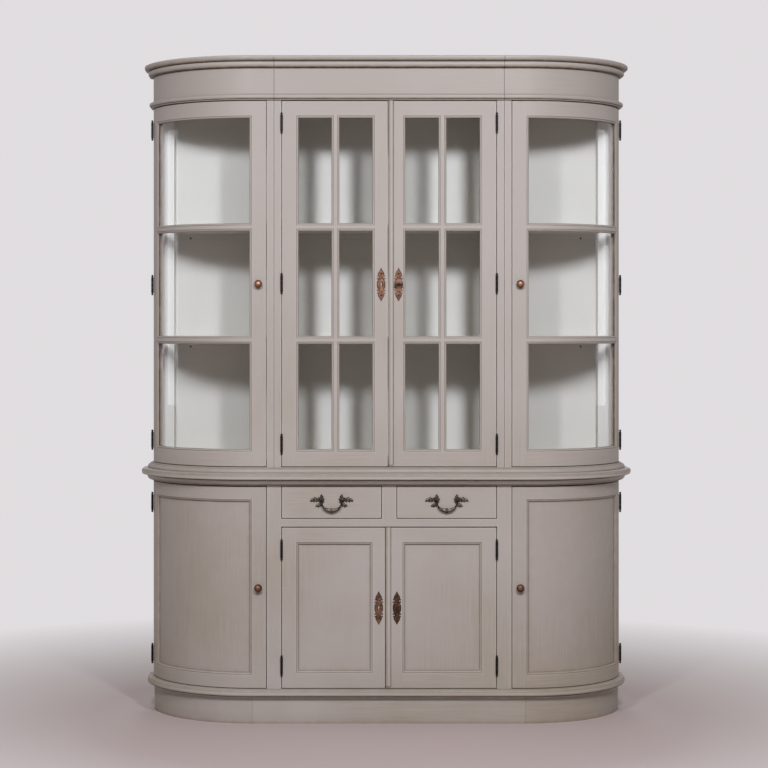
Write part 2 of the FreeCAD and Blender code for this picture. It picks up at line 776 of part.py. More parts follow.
# Side panels of the upper modules; each pilaster is two of them side by side
keep("upper_sides", both_sides([
    box(x, x + side_thickness, front_y, carcass_back_y, upper_z, bead_z)
    for x in (centre_half_opening, module_joint_x)]))

# Waist: rail with a roll, nosed board and the lip that the upper part stands on
roll_start = (waist_roll_foot, waist_roll_z)
roll_end = (waist_roll_overhang, waist_top_z)
waist_roll = moulded_slab([roll_start, arc_step(roll_start, roll_end, moulding_sweep)], carcass_back_y)
waist_roll = waist_roll.cut(plan_slab(-waist_rail_width, waist_roll_z, waist_top_z, carcass_back_y))
waist_nose = waist_overhang - waist_top_thickness / 2
waist_board = moulded_slab([
    (waist_nose, waist_top_z),
    ((waist_overhang, waist_top_z + waist_top_thickness / 2), (waist_nose, waist_lip_z))], back_y)
lip_start = (waist_lip_overhang, waist_lip_z + moulding_fillet)
lip_end = (waist_lip_top, upper_z)
waist_lip = moulded_slab([(waist_lip_overhang, waist_lip_z), lip_start,
                          arc_step(lip_start, lip_end, moulding_sweep)], back_y)
keep("waist_top", in_three(waist_roll, flat_half_width) + [waist_board, waist_lip])

# Friezes, each with a bead at the foot and a roll at the head
bead_start = bead_overhang - bead_height / 2
roll_low = (moulding_fillet, cornice_roll_z)
roll_high = (cornice_roll_overhang, cornice_z)
frieze = moulded_slab([
    (bead_start, bead_z),
    ((bead_overhang, bead_z + bead_height / 2), (bead_start, frieze_z)),
    (0, frieze_z), (0, cornice_roll_z), roll_low,
    arc_step(roll_low, roll_high, moulding_sweep)], carcass_back_y)
frieze = frieze.cut(plan_slab(-frieze_thickness, bead_z, cornice_z, carcass_back_y))
keep("friezes", in_three(frieze, module_joint_x))

# Cornice boards with a rounded edge
cornice_start = (cornice_overhang - cornice_edge_radius, cornice_z)
cornice_mid = (cornice_overhang, cornice_z + cornice_edge_radius)
cornice = moulded_slab([cornice_start, arc_step(cornice_start, cornice_mid, moulding_sweep),
                        (cornice_overhang, cornice_top_z)], back_y)
keep("cornices", in_three(cornice, module_joint_x))

# Back panels: one behind the base, one behind each upper module
base_back = box(-body_half_width, body_half_width, carcass_back_y, back_y, base_z, waist_top_z)
upper_back = box(-body_half_width, body_half_width, carcass_back_y, back_y, upper_z, cornice_z)
keep("back_panels", [base_back] + in_three(upper_back, module_joint_x))

# Doors of the flat centre
lower_top = drawer_rail_z - door_gap
centre_pairs = {
    "upper": (upper_z + door_gap, bead_z - door_gap, upper_meeting_x, upper_left_meeting_stile,
              upper_right_meeting_stile, sash_moulding, upper_escutcheon_height),
    "lower": (base_z + door_gap, lower_top, lower_meeting_x, lower_left_meeting_stile,
              lower_right_meeting_stile, panel_moulding, lower_escutcheon_height)}
frame_leaves = []
for tier, (z0, z1, meeting_x, left_stile, right_stile, moulding, plate_z) in centre_pairs.items():
    outer_x = centre_half_opening - door_gap
    left_door = FlatDoor(-outer_x, meeting_x - meeting_gap / 2, z0, z1, stile_width, left_stile, moulding)
    right_door = FlatDoor(meeting_x + meeting_gap / 2, outer_x, z0, z1, right_stile, stile_width, moulding)
    heights = [z0 + hinge_inset, z1 - hinge_inset]
    if tier == "upper":
        heights.insert(1, (z0 + z1) / 2)
    fixed, moving = hinges(heights, V(centre_half_opening - door_gap / 2, front_y, 0), 0)
    frame_leaves += both_sides(fixed)
    left_plate_x = left_door.x1 - left_stile / 2
    key_x = right_door.x0 + astragal_width + (right_stile - astragal_width) / 2
    for side, door, plate_x in (("left", left_door, left_plate_x), ("right", right_door, key_x)):
        name = f"{tier}_{side}_door"
        frame, infill = door.glazed() if tier == "upper" else door.panelled()
        if side == "right":
            bore = along_y(keyhole_radius, key_x, plate_z, front_y - cut_margin, door.back + cut_margin)
            frame = [solid.cut(bore) for solid in frame]
            bead_z0 = z0 + astragal_end
            bead_ends = [V(x, front_y, bead_z0) for x in (door.x0, door.x0 + astragal_width)]
            bead_middle = V(door.x0 + astragal_width / 2, front_y - astragal_height, bead_z0)
            bead = face_of([Part.Arc(bead_ends[0], bead_middle, bead_ends[1]).toShape(), line(*bead_ends)])
            frame.append(bead.extrude(V(0, 0, z1 - bead_z0)))
            case, bolt = lock(key_x, plate_z)
            keep(name + "_lock_case", [case])
            keep(name + "_bolt", [bolt])
            keep(name + "_key", [key(key_x, plate_z, tier == "lower")])
        keep(name + "_frame", frame)
        keep(name + ("_glass" if tier == "upper" else "_panel"), infill)
        keep(name + "_hinge_leaves", [mirrored(m) for m in moving] if side == "left" else moving)
        keep(name + "_escutcheon", [escutcheon(plate_x, plate_z)])

# Doors of the bowed ends
bow_tiers = {
    "upper": (upper_z + door_gap, bead_z - door_gap, sash_moulding, upper_knob_height),
    "lower": (base_z + door_gap, waist_roll_z - door_gap, panel_moulding, lower_knob_height)}
for tier, (z0, z1, moulding, knob_z) in bow_tiers.items():
    door = BowDoor(z0, z1, moulding)
    frame, infill = door.glazed() if tier == "upper" else door.panelled()
    heights = [z0 + hinge_inset, z1 - hinge_inset]
    if tier == "upper":
        heights.insert(1, (z0 + z1) / 2)
    fixed, moving = hinges(heights, polar(bow_radius, hinge_gap_angle, 0), hinge_gap_angle)
    frame_leaves += both_sides(fixed)
    pieces = {"frame": frame, "glass" if tier == "upper" else "panel": infill,
              "hinge_leaves": moving, "knob": [bow_knob(knob_z)]}
    for piece, solids in pieces.items():
        keep(f"{tier}_right_bow_door_{piece}", solids)
        keep(f"{tier}_left_bow_door_{piece}", [mirrored(s) for s in solids])
keep("hinge_frame_leaves", frame_leaves)

# Drawers
front_x0 = half_divider + door_gap
front_x1 = centre_half_opening - door_gap
side_x0 = half_divider + drawer_side_clearance
side_x1 = centre_half_opening - drawer_side_clearance
inner_x0 = side_x0 + drawer_side_thickness
inner_x1 = side_x1 - drawer_side_thickness
box_front = front_y + drawer_front_thickness
box_back = box_front + drawer_box_depth
side_z = drawer_z + slide_clearance
side_top = side_z + drawer_side_height
bottom_z = side_z + drawer_bottom_rise
bottom_top = bottom_z + drawer_bottom_thickness
drawer_front = box(front_x0, front_x1, front_y, box_front, drawer_z + door_gap, waist_roll_z - door_gap)
drawer_box = [
    box(side_x0, inner_x0, box_front, box_back, side_z, side_top),
    box(inner_x1, side_x1, box_front, box_back, side_z, side_top),
    box(inner_x0, inner_x1, box_front, box_back, bottom_z, bottom_top),
    box(inner_x0, inner_x1, box_back - drawer_side_thickness, box_back, bottom_top, side_top)]
handle_x = (front_x0 + front_x1) / 2
handle_z = drawer_z + handle_height
for side, way in (("left", -1), ("right", 1)):
    name = side + "_drawer"
    keep(name + "_front", [mirrored(drawer_front) if way < 0 else drawer_front])
    keep(name + "_box", [mirrored(b) for b in drawer_box] if way < 0 else drawer_box)
    keep(name + "_handle_plates", handle_plates(way * handle_x, handle_z))
    keep(name + "_bail", [bail(way * handle_x, handle_z)])

os.makedirs("parts", exist_ok=True)
for name, solids in parts.items():
    shape = solids[0] if len(solids) == 1 else Part.makeCompound(solids)
    shape.exportStep(f"parts/{name}.step")
print(len(parts), "nodes,", sum(len(s) for s in parts.values()), "solids")
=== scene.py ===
"""Dresses a painted kitchen dresser: boards and mouldings, glazed and panelled doors, aged metal fittings."""
import functools
import json
import logging
import math
from collections.abc import Sequence
from dataclasses import dataclass, field, replace
from enum import Enum

import bmesh
import bpy
import numpy as np
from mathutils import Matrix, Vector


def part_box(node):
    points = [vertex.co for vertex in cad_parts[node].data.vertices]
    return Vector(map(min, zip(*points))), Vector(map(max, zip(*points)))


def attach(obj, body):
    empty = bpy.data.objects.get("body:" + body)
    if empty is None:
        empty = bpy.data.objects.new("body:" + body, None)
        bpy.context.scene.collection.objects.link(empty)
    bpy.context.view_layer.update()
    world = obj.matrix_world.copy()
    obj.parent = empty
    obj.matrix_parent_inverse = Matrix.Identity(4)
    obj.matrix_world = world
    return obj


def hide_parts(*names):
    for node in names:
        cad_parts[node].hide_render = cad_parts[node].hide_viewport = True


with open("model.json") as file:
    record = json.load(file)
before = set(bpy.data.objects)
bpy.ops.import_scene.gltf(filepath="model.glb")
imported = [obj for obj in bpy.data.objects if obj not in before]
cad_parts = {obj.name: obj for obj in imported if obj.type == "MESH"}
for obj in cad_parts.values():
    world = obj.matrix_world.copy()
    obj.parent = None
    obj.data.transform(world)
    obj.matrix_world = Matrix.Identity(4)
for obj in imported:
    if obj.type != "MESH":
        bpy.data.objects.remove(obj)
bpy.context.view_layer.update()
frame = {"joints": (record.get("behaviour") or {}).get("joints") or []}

log = logging.getLogger("dresser")
Array = np.ndarray
Span = tuple[float, float]
Colour = tuple[float, float, float, float]

# Lengths in metres, angles in radians and numbers of steps
MM = 0.001
SHARP_ANGLE = math.radians(24)
BEVEL_ANGLE = math.radians(42)
BEVEL_SEGMENTS = 3
BOW_STEPS = 48
BEND_STEPS = 44
DOOR_THICKNESS = 22 * MM
DOOR_GAP = 2 * MM
TOP_GAP = 1.2 * MM
JOINT_GAP = 0.6 * MM
BOW_FLAT = 44 * MM
EDGE_EASE = 0.8 * MM
DOOR_EASE = 1.6 * MM

# Glaze with painted shade, from 1 where it lies dark to -1 where the paint wears pale or carries a painted
# highlight, how far it reaches, and the grain
# Paler along the arrises: wear together with a painted highlight
EDGE_WEAR_AND_HIGHLIGHT = -0.45
# Painted shade deep in the gaps between boards
GAP_SHADE = 0.9
# Less painted shade in the gaps of the glazed doors and the upper boards
UPPER_GAP_SHADE = 0.1
# Extra darkening all over the lower bowed doors and the plinth's bowed ends
BOW_DARKENING = 0.08
GAP_DEPTH = 2.4 * MM
STAIN_REACH = 1.3 * MM
SMUDGE_REACH = 11 * MM
EDGE_LINES = np.array([0.0, 2.0, 4.0, 8.0, 18.0]) * MM
GRAIN_SHIFT = 3.1


class Slot(Enum):
    """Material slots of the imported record."""

    PAINT = "paint"
    WHITE = "white_paint"
    WOOD = "drawer_wood"
    GLASS = "glass"
    COPPER = "copper"
    BRONZE = "bronze"
    IRON = "iron"
    STEEL = "lock_steel"


class Side(Enum):
    """Left or right of the middle, as the sign of x."""

    LEFT = -1
    RIGHT = 1

    @property
    def word(self) -> str:
        """The side's name as the nodes spell it."""
        return self.name.lower()


class Infill(Enum):
    """What fills the openings of a door."""

    GLASS = "glass"
    PANEL = "panel"


# Surfaces as whole arrays


@dataclass
class Shape:
    """A surface: points, four-sided faces, larger flat faces, and two values at each point.

    recess is how much glaze or grime lies at a point, up to 1, and with it painted shade in gaps, creases and
    under noses; below 0 it is how far the paint wears pale, and with it painted highlights. grain is its
    place along, across and through the piece it belongs to. Faces and covers carry the number of their
    material, and whether the grain runs across them instead of along.
    """

    points: Array
    quads: Array
    recess: Array
    grain: Array
    covers: list[Array] = field(default_factory=list)
    skins: Array | None = None
    cross: Array | None = None

    def moved(self, points: Array) -> "Shape":
        """The same faces on other points."""
        return replace(self, points=points)

    def shifted(self, by: Sequence[float]) -> "Shape":
        """The shape moved along."""
        return self.moved(self.points + np.asarray(by))

    def mirrored(self) -> "Shape":
        """The shape on the other side of the middle."""
        return self.moved(self.points * [-1, 1, 1])

    def on_side(self, side: Side) -> "Shape":
        """A right-hand shape on the side it is wanted."""
        return self if side is Side.RIGHT else self.mirrored()

    def turned_about_z(self, angle: float) -> "Shape":
        """The shape turned about the upright axis."""
        cos, sin = math.cos(angle), math.sin(angle)
        return self.moved(self.points @ np.array([[cos, sin, 0], [-sin, cos, 0], [0, 0, 1]]))

    def facing_front(self) -> "Shape":
        """A shape raised along z laid down, so that it is raised towards the front."""
        return self.moved(self.points[:, [0, 2, 1]] * [1, -1, 1])

    def washed(self, by: float) -> "Shape":
        """The same shape with its recess value raised all over, which darkens it."""
        return replace(self, recess=self.recess + by)

    def skinned(self, skin: int) -> "Shape":
        """The shape with all its faces in one of its piece's materials."""
        self.skins = np.full(len(self.quads) + len(self.covers), skin)
        return self

    @staticmethod
    def joined(shapes: Sequence["Shape"]) -> "Shape":
        """Several shapes as one, each a shell of its own.

        Args:
            shapes: The shapes to join.

        Returns:
            One shape that holds them all.
        """
        starts = np.cumsum([0] + [len(s.points) for s in shapes])[:-1]

        def by_face(values: Sequence[Array | None]) -> Array:
            """One value for each face of the joined shape, faces first and covers after them."""
            full = [np.zeros(len(s.quads) + len(s.covers), int) if v is None else v
                    for s, v in zip(shapes, values)]
            first = [v[:len(s.quads)] for s, v in zip(shapes, full)]
            return np.concatenate(first + [v[len(s.quads):] for s, v in zip(shapes, full)])

        return Shape(
            np.concatenate([s.points for s in shapes]),
            np.concatenate([s.quads + start for s, start in zip(shapes, starts)]),
            np.concatenate([s.recess for s in shapes]),
            np.concatenate([s.grain for s in shapes]),
            [cover + start for s, start in zip(shapes, starts) for cover in s.covers],
            by_face([s.skins for s in shapes]), by_face([s.cross for s in shapes]))


def grid_quads(rows: int, columns: int, wrap_rows: bool, wrap_columns: bool) -> Array:
    """Faces between the neighbouring points of a grid that is numbered row by row.

    Args:
        rows: Number of rows.
        columns: Number of columns.
        wrap_rows: Whether the last row meets the first.
        wrap_columns: Whether the last column meets the first.

    Returns:
        The faces, four point numbers each, one row of faces after another.
    """
    row, column = np.meshgrid(np.arange(rows if wrap_rows else rows - 1),
                              np.arange(columns if wrap_columns else columns - 1), indexing="ij")
    next_row, next_column = (row + 1) % rows, (column + 1) % columns
    corners = [row * columns + column, next_row * columns + column,
               next_row * columns + next_column, row * columns + next_column]
    return np.stack(corners, axis=-1).reshape(-1, 4)


def run_length(points: Array) -> Array:
    """Distance travelled along each run of points, from 0; the runs lie along the first axis."""
    steps = np.linalg.norm(np.diff(points, axis=0), axis=-1)
    return np.concatenate([np.zeros_like(steps[:1]), np.cumsum(steps, axis=0)])


def points_at(x: Array | float, y: Array | float, z: Array | float) -> Array:
    """Points whose three places are stretched to one grid."""
    return np.stack(np.broadcast_arrays(x, y, z), axis=-1)


def swept(rings: Array, recess: Array | float = 0.0, loop: bool = False, closed: bool = True) -> Shape:
    """A profile carried along a path: each ring is the profile at one step, and neighbours are joined.

    Args:
        rings: Points as (steps, profile points, 3).
        recess: Glaze for each profile point, or for each point of each ring.
        loop: Whether the path closes on itself.
        closed: Whether the profile closes on itself.

    Returns:
        The surface, its open ends covered by flat faces.
    """
    steps, count = rings.shape[:2]
    along = run_length(rings.mean(axis=1))[:, None]
    across = np.moveaxis(run_length(np.moveaxis(rings, 1, 0)), 0, 1)
    seed = np.abs(rings).mean()
    grain = points_at(along, across, seed)
    numbers = np.arange(steps * count).reshape(steps, count)
    covers = []
    if closed and not loop:
        covers = [numbers[0], numbers[-1]]
    if loop and not closed:
        covers = [numbers[:, 0], numbers[:, -1]]
    return Shape(rings.reshape(-1, 3), grid_quads(steps, count, loop, closed),
                 np.broadcast_to(recess, (steps, count)).ravel(), grain.reshape(-1, 3), covers)


def graded(low: float, high: float, steps: int) -> Array:
    """Places from low to high, close together near both ends and in equal steps between."""
    edge = EDGE_LINES[EDGE_LINES < 0.4 * (high - low)]
    middle = np.linspace(low + edge[-1], high - edge[-1], steps + 1)
    return np.concatenate([low + edge[:-1], middle, high - edge[:-1][::-1]])


def board(x: Span, y: Span, z: Span, steps: int = 1, stain: float = EDGE_WEAR_AND_HIGHLIGHT, margin: float = 0.0,
          smudge: float = 0.0, gap: float = GAP_SHADE) -> Shape:
    """A board seen from the front: a grid of x and z, its glaze fading with distance from the edges.

    Args:
        x: Left and right limits.
        y: Depth of the front face and of the back.
        z: Lower and upper limits.
        steps: Steps across the middle, for boards that will be bent.
        stain: Glaze at the edges, or below 0 wear with a painted highlight.
        margin: Width of the edge that is hidden in a groove.
        smudge: Glaze that fades more slowly from the edges.
        gap: Painted shade behind the edges, in the gaps.

    Returns:
        A closed board, its grain along its longer side.
    """
    xs, zs = graded(x[0] + margin, x[1] - margin, steps), graded(z[0] + margin, z[1] - margin, 1)
    if margin:
        xs, zs = np.array([x[0], *xs, x[1]]), np.array([z[0], *zs, z[1]])
    near = min(GAP_DEPTH, (y[1] - y[0]) / 2)
    front = points_at(xs[:, None], y[0], zs)
    behind = np.array([y[0] + near, y[1], y[1], y[0] + near])
    back = points_at(xs[:, None], behind, zs[[-1, -1, 0, 0]])
    to_side = np.minimum(xs - x[0], x[1] - xs)[:, None]
    to_end = np.minimum(zs - z[0], z[1] - zs)
    distance = np.maximum(np.minimum(to_side, to_end) - margin, 0)
    glaze = stain * np.exp(-distance / STAIN_REACH) + smudge * np.exp(-distance / SMUDGE_REACH)
    recess = np.concatenate([glaze, np.broadcast_to([gap, 0, 0, gap], (len(xs), 4))], axis=1)
    shape = swept(np.concatenate([front, back], axis=1), recess)
    upright = z[1] - z[0] > x[1] - x[0]
    order = [2, 0, 1] if upright else [0, 2, 1]
    shape.grain = shape.points[:, order] + [0, 0, GRAIN_SHIFT * (x[0] + z[0])]
    return shape


def ruled(limits: Span, gaps: Sequence[Span], steps: int) -> Array:
    """Lines across a pierced board: its limits, its openings' edges, lines close beside them and even steps.

    Args:
        limits: Both ends.
        gaps: Openings along this direction.
        steps: Even steps from end to end, for boards that will be bent.

    Returns:
        The places of the lines in order.
    """
    beside = EDGE_LINES[:-1]
    sides = [side for low, high in gaps for side in (low - beside, high + beside)]
    fixed = np.concatenate([limits[0] + beside, limits[1] - beside, *sides])
    fixed = np.clip(fixed, *limits)
    even = np.linspace(*limits, steps + 1)
    clear = np.abs(even[:, None] - fixed).min(axis=1) > 2 * MM
    return np.unique(np.round(np.concatenate([fixed, even[clear]]), 6))


def pierced(x: Span, y: Span, z: Span, holes: Sequence[tuple[Span, Span]], steps: int = 1,
            gap: float = GAP_SHADE) -> Shape:
    """A board with openings as one closed shell: a grid of x and z lines without the cells inside an opening.

    Front and back hold every cell that is left, and a wall joins them wherever a cell has no neighbour. The
    front is paler along its edges, as wear with a painted highlight, and painted shade lies deep in the gaps.

    Args:
        x: Left and right limits.
        y: Depth of the front face and of the back.
        z: Lower and upper limits.
        holes: Openings, each as its limits in x and in z.
        steps: Even steps along x, for boards that will be bent.
        gap: Painted shade behind the edges, in the gaps.

    Returns:
        The closed board, its grain upright, and level between the openings.
    """
    xs, zs = ruled(x, [hole[0] for hole in holes], steps), ruled(z, [hole[1] for hole in holes], 1)
    grid_x, grid_z = np.meshgrid(xs, zs, indexing="ij")
    middle_x, middle_z = (xs[1:] + xs[:-1])[:, None] / 2, (zs[1:] + zs[:-1]) / 2
    kept = np.ones((len(xs) - 1, len(zs) - 1), bool)
    in_rows = np.zeros(len(zs) - 1, bool)
    rim = np.minimum(np.minimum(grid_x - x[0], x[1] - grid_x), np.minimum(grid_z - z[0], z[1] - grid_z))
    for (x0, x1), (z0, z1) in holes:
        row = (middle_z > z0) & (middle_z < z1)
        kept &= ~((middle_x > x0) & (middle_x < x1) & row)
        in_rows |= row
        beside = np.maximum(np.maximum(x0 - grid_x, grid_x - x1), 0)
        rim = np.minimum(rim, np.hypot(beside, np.maximum(np.maximum(z0 - grid_z, grid_z - z1), 0)))
    number = np.arange(grid_x.size).reshape(grid_x.shape)
    cells = np.stack([number[:-1, :-1], number[1:, :-1], number[1:, 1:], number[:-1, 1:]], axis=-1)[kept]
    around = np.pad(kept, 1)
    upright = np.stack([number[:, :-1], number[:, 1:]], axis=-1)[around[:-1, 1:-1] != around[1:, 1:-1]]
    level = np.stack([number[:-1], number[1:]], axis=-1)[around[1:-1, :-1] != around[1:-1, 1:]]
    rims = np.concatenate([upright, level])
    brim = np.concatenate([rims, rims[:, ::-1] + number.size], axis=1)
    walls = np.concatenate([brim, brim + number.size])
    quads = np.concatenate([cells, cells + 2 * number.size, walls])
    used, quads = np.unique(quads, return_inverse=True)
    layers = np.array([y[0], y[0] + GAP_DEPTH, y[1]])[:, None, None]
    points = points_at(grid_x, layers, grid_z).reshape(-1, 3)[used]
    fade = np.exp(-rim / STAIN_REACH).ravel()
    recess = np.concatenate([EDGE_WEAR_AND_HIGHLIGHT * fade, gap * fade, gap * fade])[used]
    inner = (middle_x > min(hole[0][0] for hole in holes)) & (middle_x < max(hole[0][1] for hole in holes))
    cross = (inner & ~in_rows)[kept]
    cross = np.concatenate([cross, cross, np.zeros(len(walls), bool)])
    grain = points[:, [2, 0, 1]] + [0, 0, GRAIN_SHIFT * (x[0] + z[0])]
    return Shape(points, quads.reshape(-1, 4), recess, grain, cross=cross)


def plank(low: Sequence[float], high: Sequence[float]) -> Shape:
    """A plain board between two corners: a rectangle carried along its longest side."""
    low, high = np.asarray(low, float), np.asarray(high, float)
    long = int(np.argmax(high - low))
    first, second = (axis for axis in range(3) if axis != long)
    corners = np.array([[0, 0], [1, 0], [1, 1], [0, 1]])
    share = np.zeros((2, 4, 3))
    share[1, :, long] = 1
    share[:, :, [first, second]] = corners
    shape = swept(low + share * (high - low))
    shape.grain = shape.points[:, [long, first, second]] + [0, 0, GRAIN_SHIFT * low.sum()]
    return shape


def lathe(profile: Array, recess: Array | float = 0.0, steps: int = 36) -> Shape:
    """A profile of (radius, height) turned about the z axis, its two ends covered."""
    turn = np.linspace(0, 2 * np.pi, steps, endpoint=False)[:, None]
    radius, height = profile.T
    rings = points_at(np.cos(turn) * radius, np.sin(turn) * radius, height)
    return swept(rings, recess, loop=True, closed=False)


def screw_head(radius: float, height: float) -> Shape:
    """A domed screw head that faces the front, its sizes in millimetres."""
    dome = [(radius - 0.2, height - 1.1), (radius - 1.6, height - 0.3), (0.1, height)]
    return lathe(np.array([(0.1, 0.0), (radius, 0.0), *dome]) * MM, steps=16).facing_front()


def tube(path: Array, radius: Array, normal: Sequence[float], loop: bool = False, sides: int = 16,
         flat: Array | float = 1.0) -> Shape:
    """A rod along a flat path: circles or ellipses of a changing radius, square to the path.

    Args:
        path: Points of the centre line, in one plane.
        radius: Radius at each point.
        normal: Direction square to that plane.
        loop: Whether the path closes on itself.
        sides: Points of each circle.
        flat: Thickness along the normal as a share of the radius.

    Returns:
        The closed rod.
    """
    ahead = np.roll(path, -1, axis=0) - np.roll(path, 1, axis=0) if loop else np.gradient(path, axis=0)
    ahead /= np.linalg.norm(ahead, axis=1, keepdims=True)
    normal = np.asarray(normal, float)
    side = np.cross(normal, ahead)[:, None]
    turn = np.linspace(0, 2 * np.pi, sides, endpoint=False)[:, None]
    through = np.broadcast_to(flat, radius.shape)[:, None, None] * np.sin(turn) * normal
    return swept(path[:, None] + radius[:, None, None] * (np.cos(turn) * side + through), loop=loop)


def quarter(start: Span, end: Span, level_first: bool, count: int = 9) -> Array:
    """Points of a quarter round from one profile point to the next.

    Args:
        start: First point.
        end: Last point.
        level_first: Whether it sets out along the first axis and arrives along the second.
        count: Number of points.

    Returns:
        The points, both ends among them.
    """
    turn = np.linspace(0, np.pi / 2, count)
    lead, lag = np.sin(turn), 1 - np.cos(turn)
    first, second = (lead, lag) if level_first else (lag, lead)
    return np.stack([start[0] + (end[0] - start[0]) * first, start[1] + (end[1] - start[1]) * second], axis=1)


def half_round(middle: Span, radius: float, full: float = 0.72, count: int = 17) -> Array:
    """A nose from below to above: cosine and sine of the turn, each raised to a power.

    A power of 1 gives a half circle, and less than 1 a blunter nose.

    Args:
        middle: Its centre as (offset, height).
        radius: Half its height, and how far it stands out.
        full: The power.
        count: Number of points.

    Returns:
        The points in order.
    """
    turn = np.linspace(-np.pi / 2, np.pi / 2, count)
    out = np.abs(np.cos(turn))**full
    up = np.sign(turn) * np.abs(np.sin(turn))**full
    return np.asarray(middle) + radius * np.stack([out, up], axis=1)


@dataclass
class Moulding:
    """An edge of (offset, height) points in the order they are carried along, with glaze at each."""

    points: Array
    recess: Array

    @classmethod
    def of(cls, *runs: tuple[Array | Sequence[Span], float | Sequence[float]]) -> "Moulding":
        """Joins runs of points, each with one glaze or one for each point.

        Args:
            *runs: Points in millimetres and their glaze.

        Returns:
            The moulding in metres.
        """
        points = [np.asarray(run, float) for run, _ in runs]
        recess = [np.broadcast_to(np.asarray(stain, float), len(run)) for run, stain in runs]
        return cls(np.concatenate(points) * MM, np.concatenate(recess))

    def raised(self, z: float) -> "Moulding":
        """The moulding at its height on the dresser."""
        return Moulding(self.points + [0, z], self.recess)


def by_height(run: Array, glaze: dict[float, float]) -> tuple[Array, Array]:
    """A run of a profile with its glaze, which is given for shares of the run's height from foot to head."""
    share = (run[:, 1] - run[:, 1].min()) / np.ptp(run[:, 1])
    return run, np.interp(share, list(glaze), list(glaze.values()))


# The plan that every moulding and board follows


def joint_place(key: str, name: str) -> Sequence[float]:
    """Where the joint stands that has this name or this child."""
    return next(joint["pos_m"] for joint in frame["joints"] if joint[key] == name)


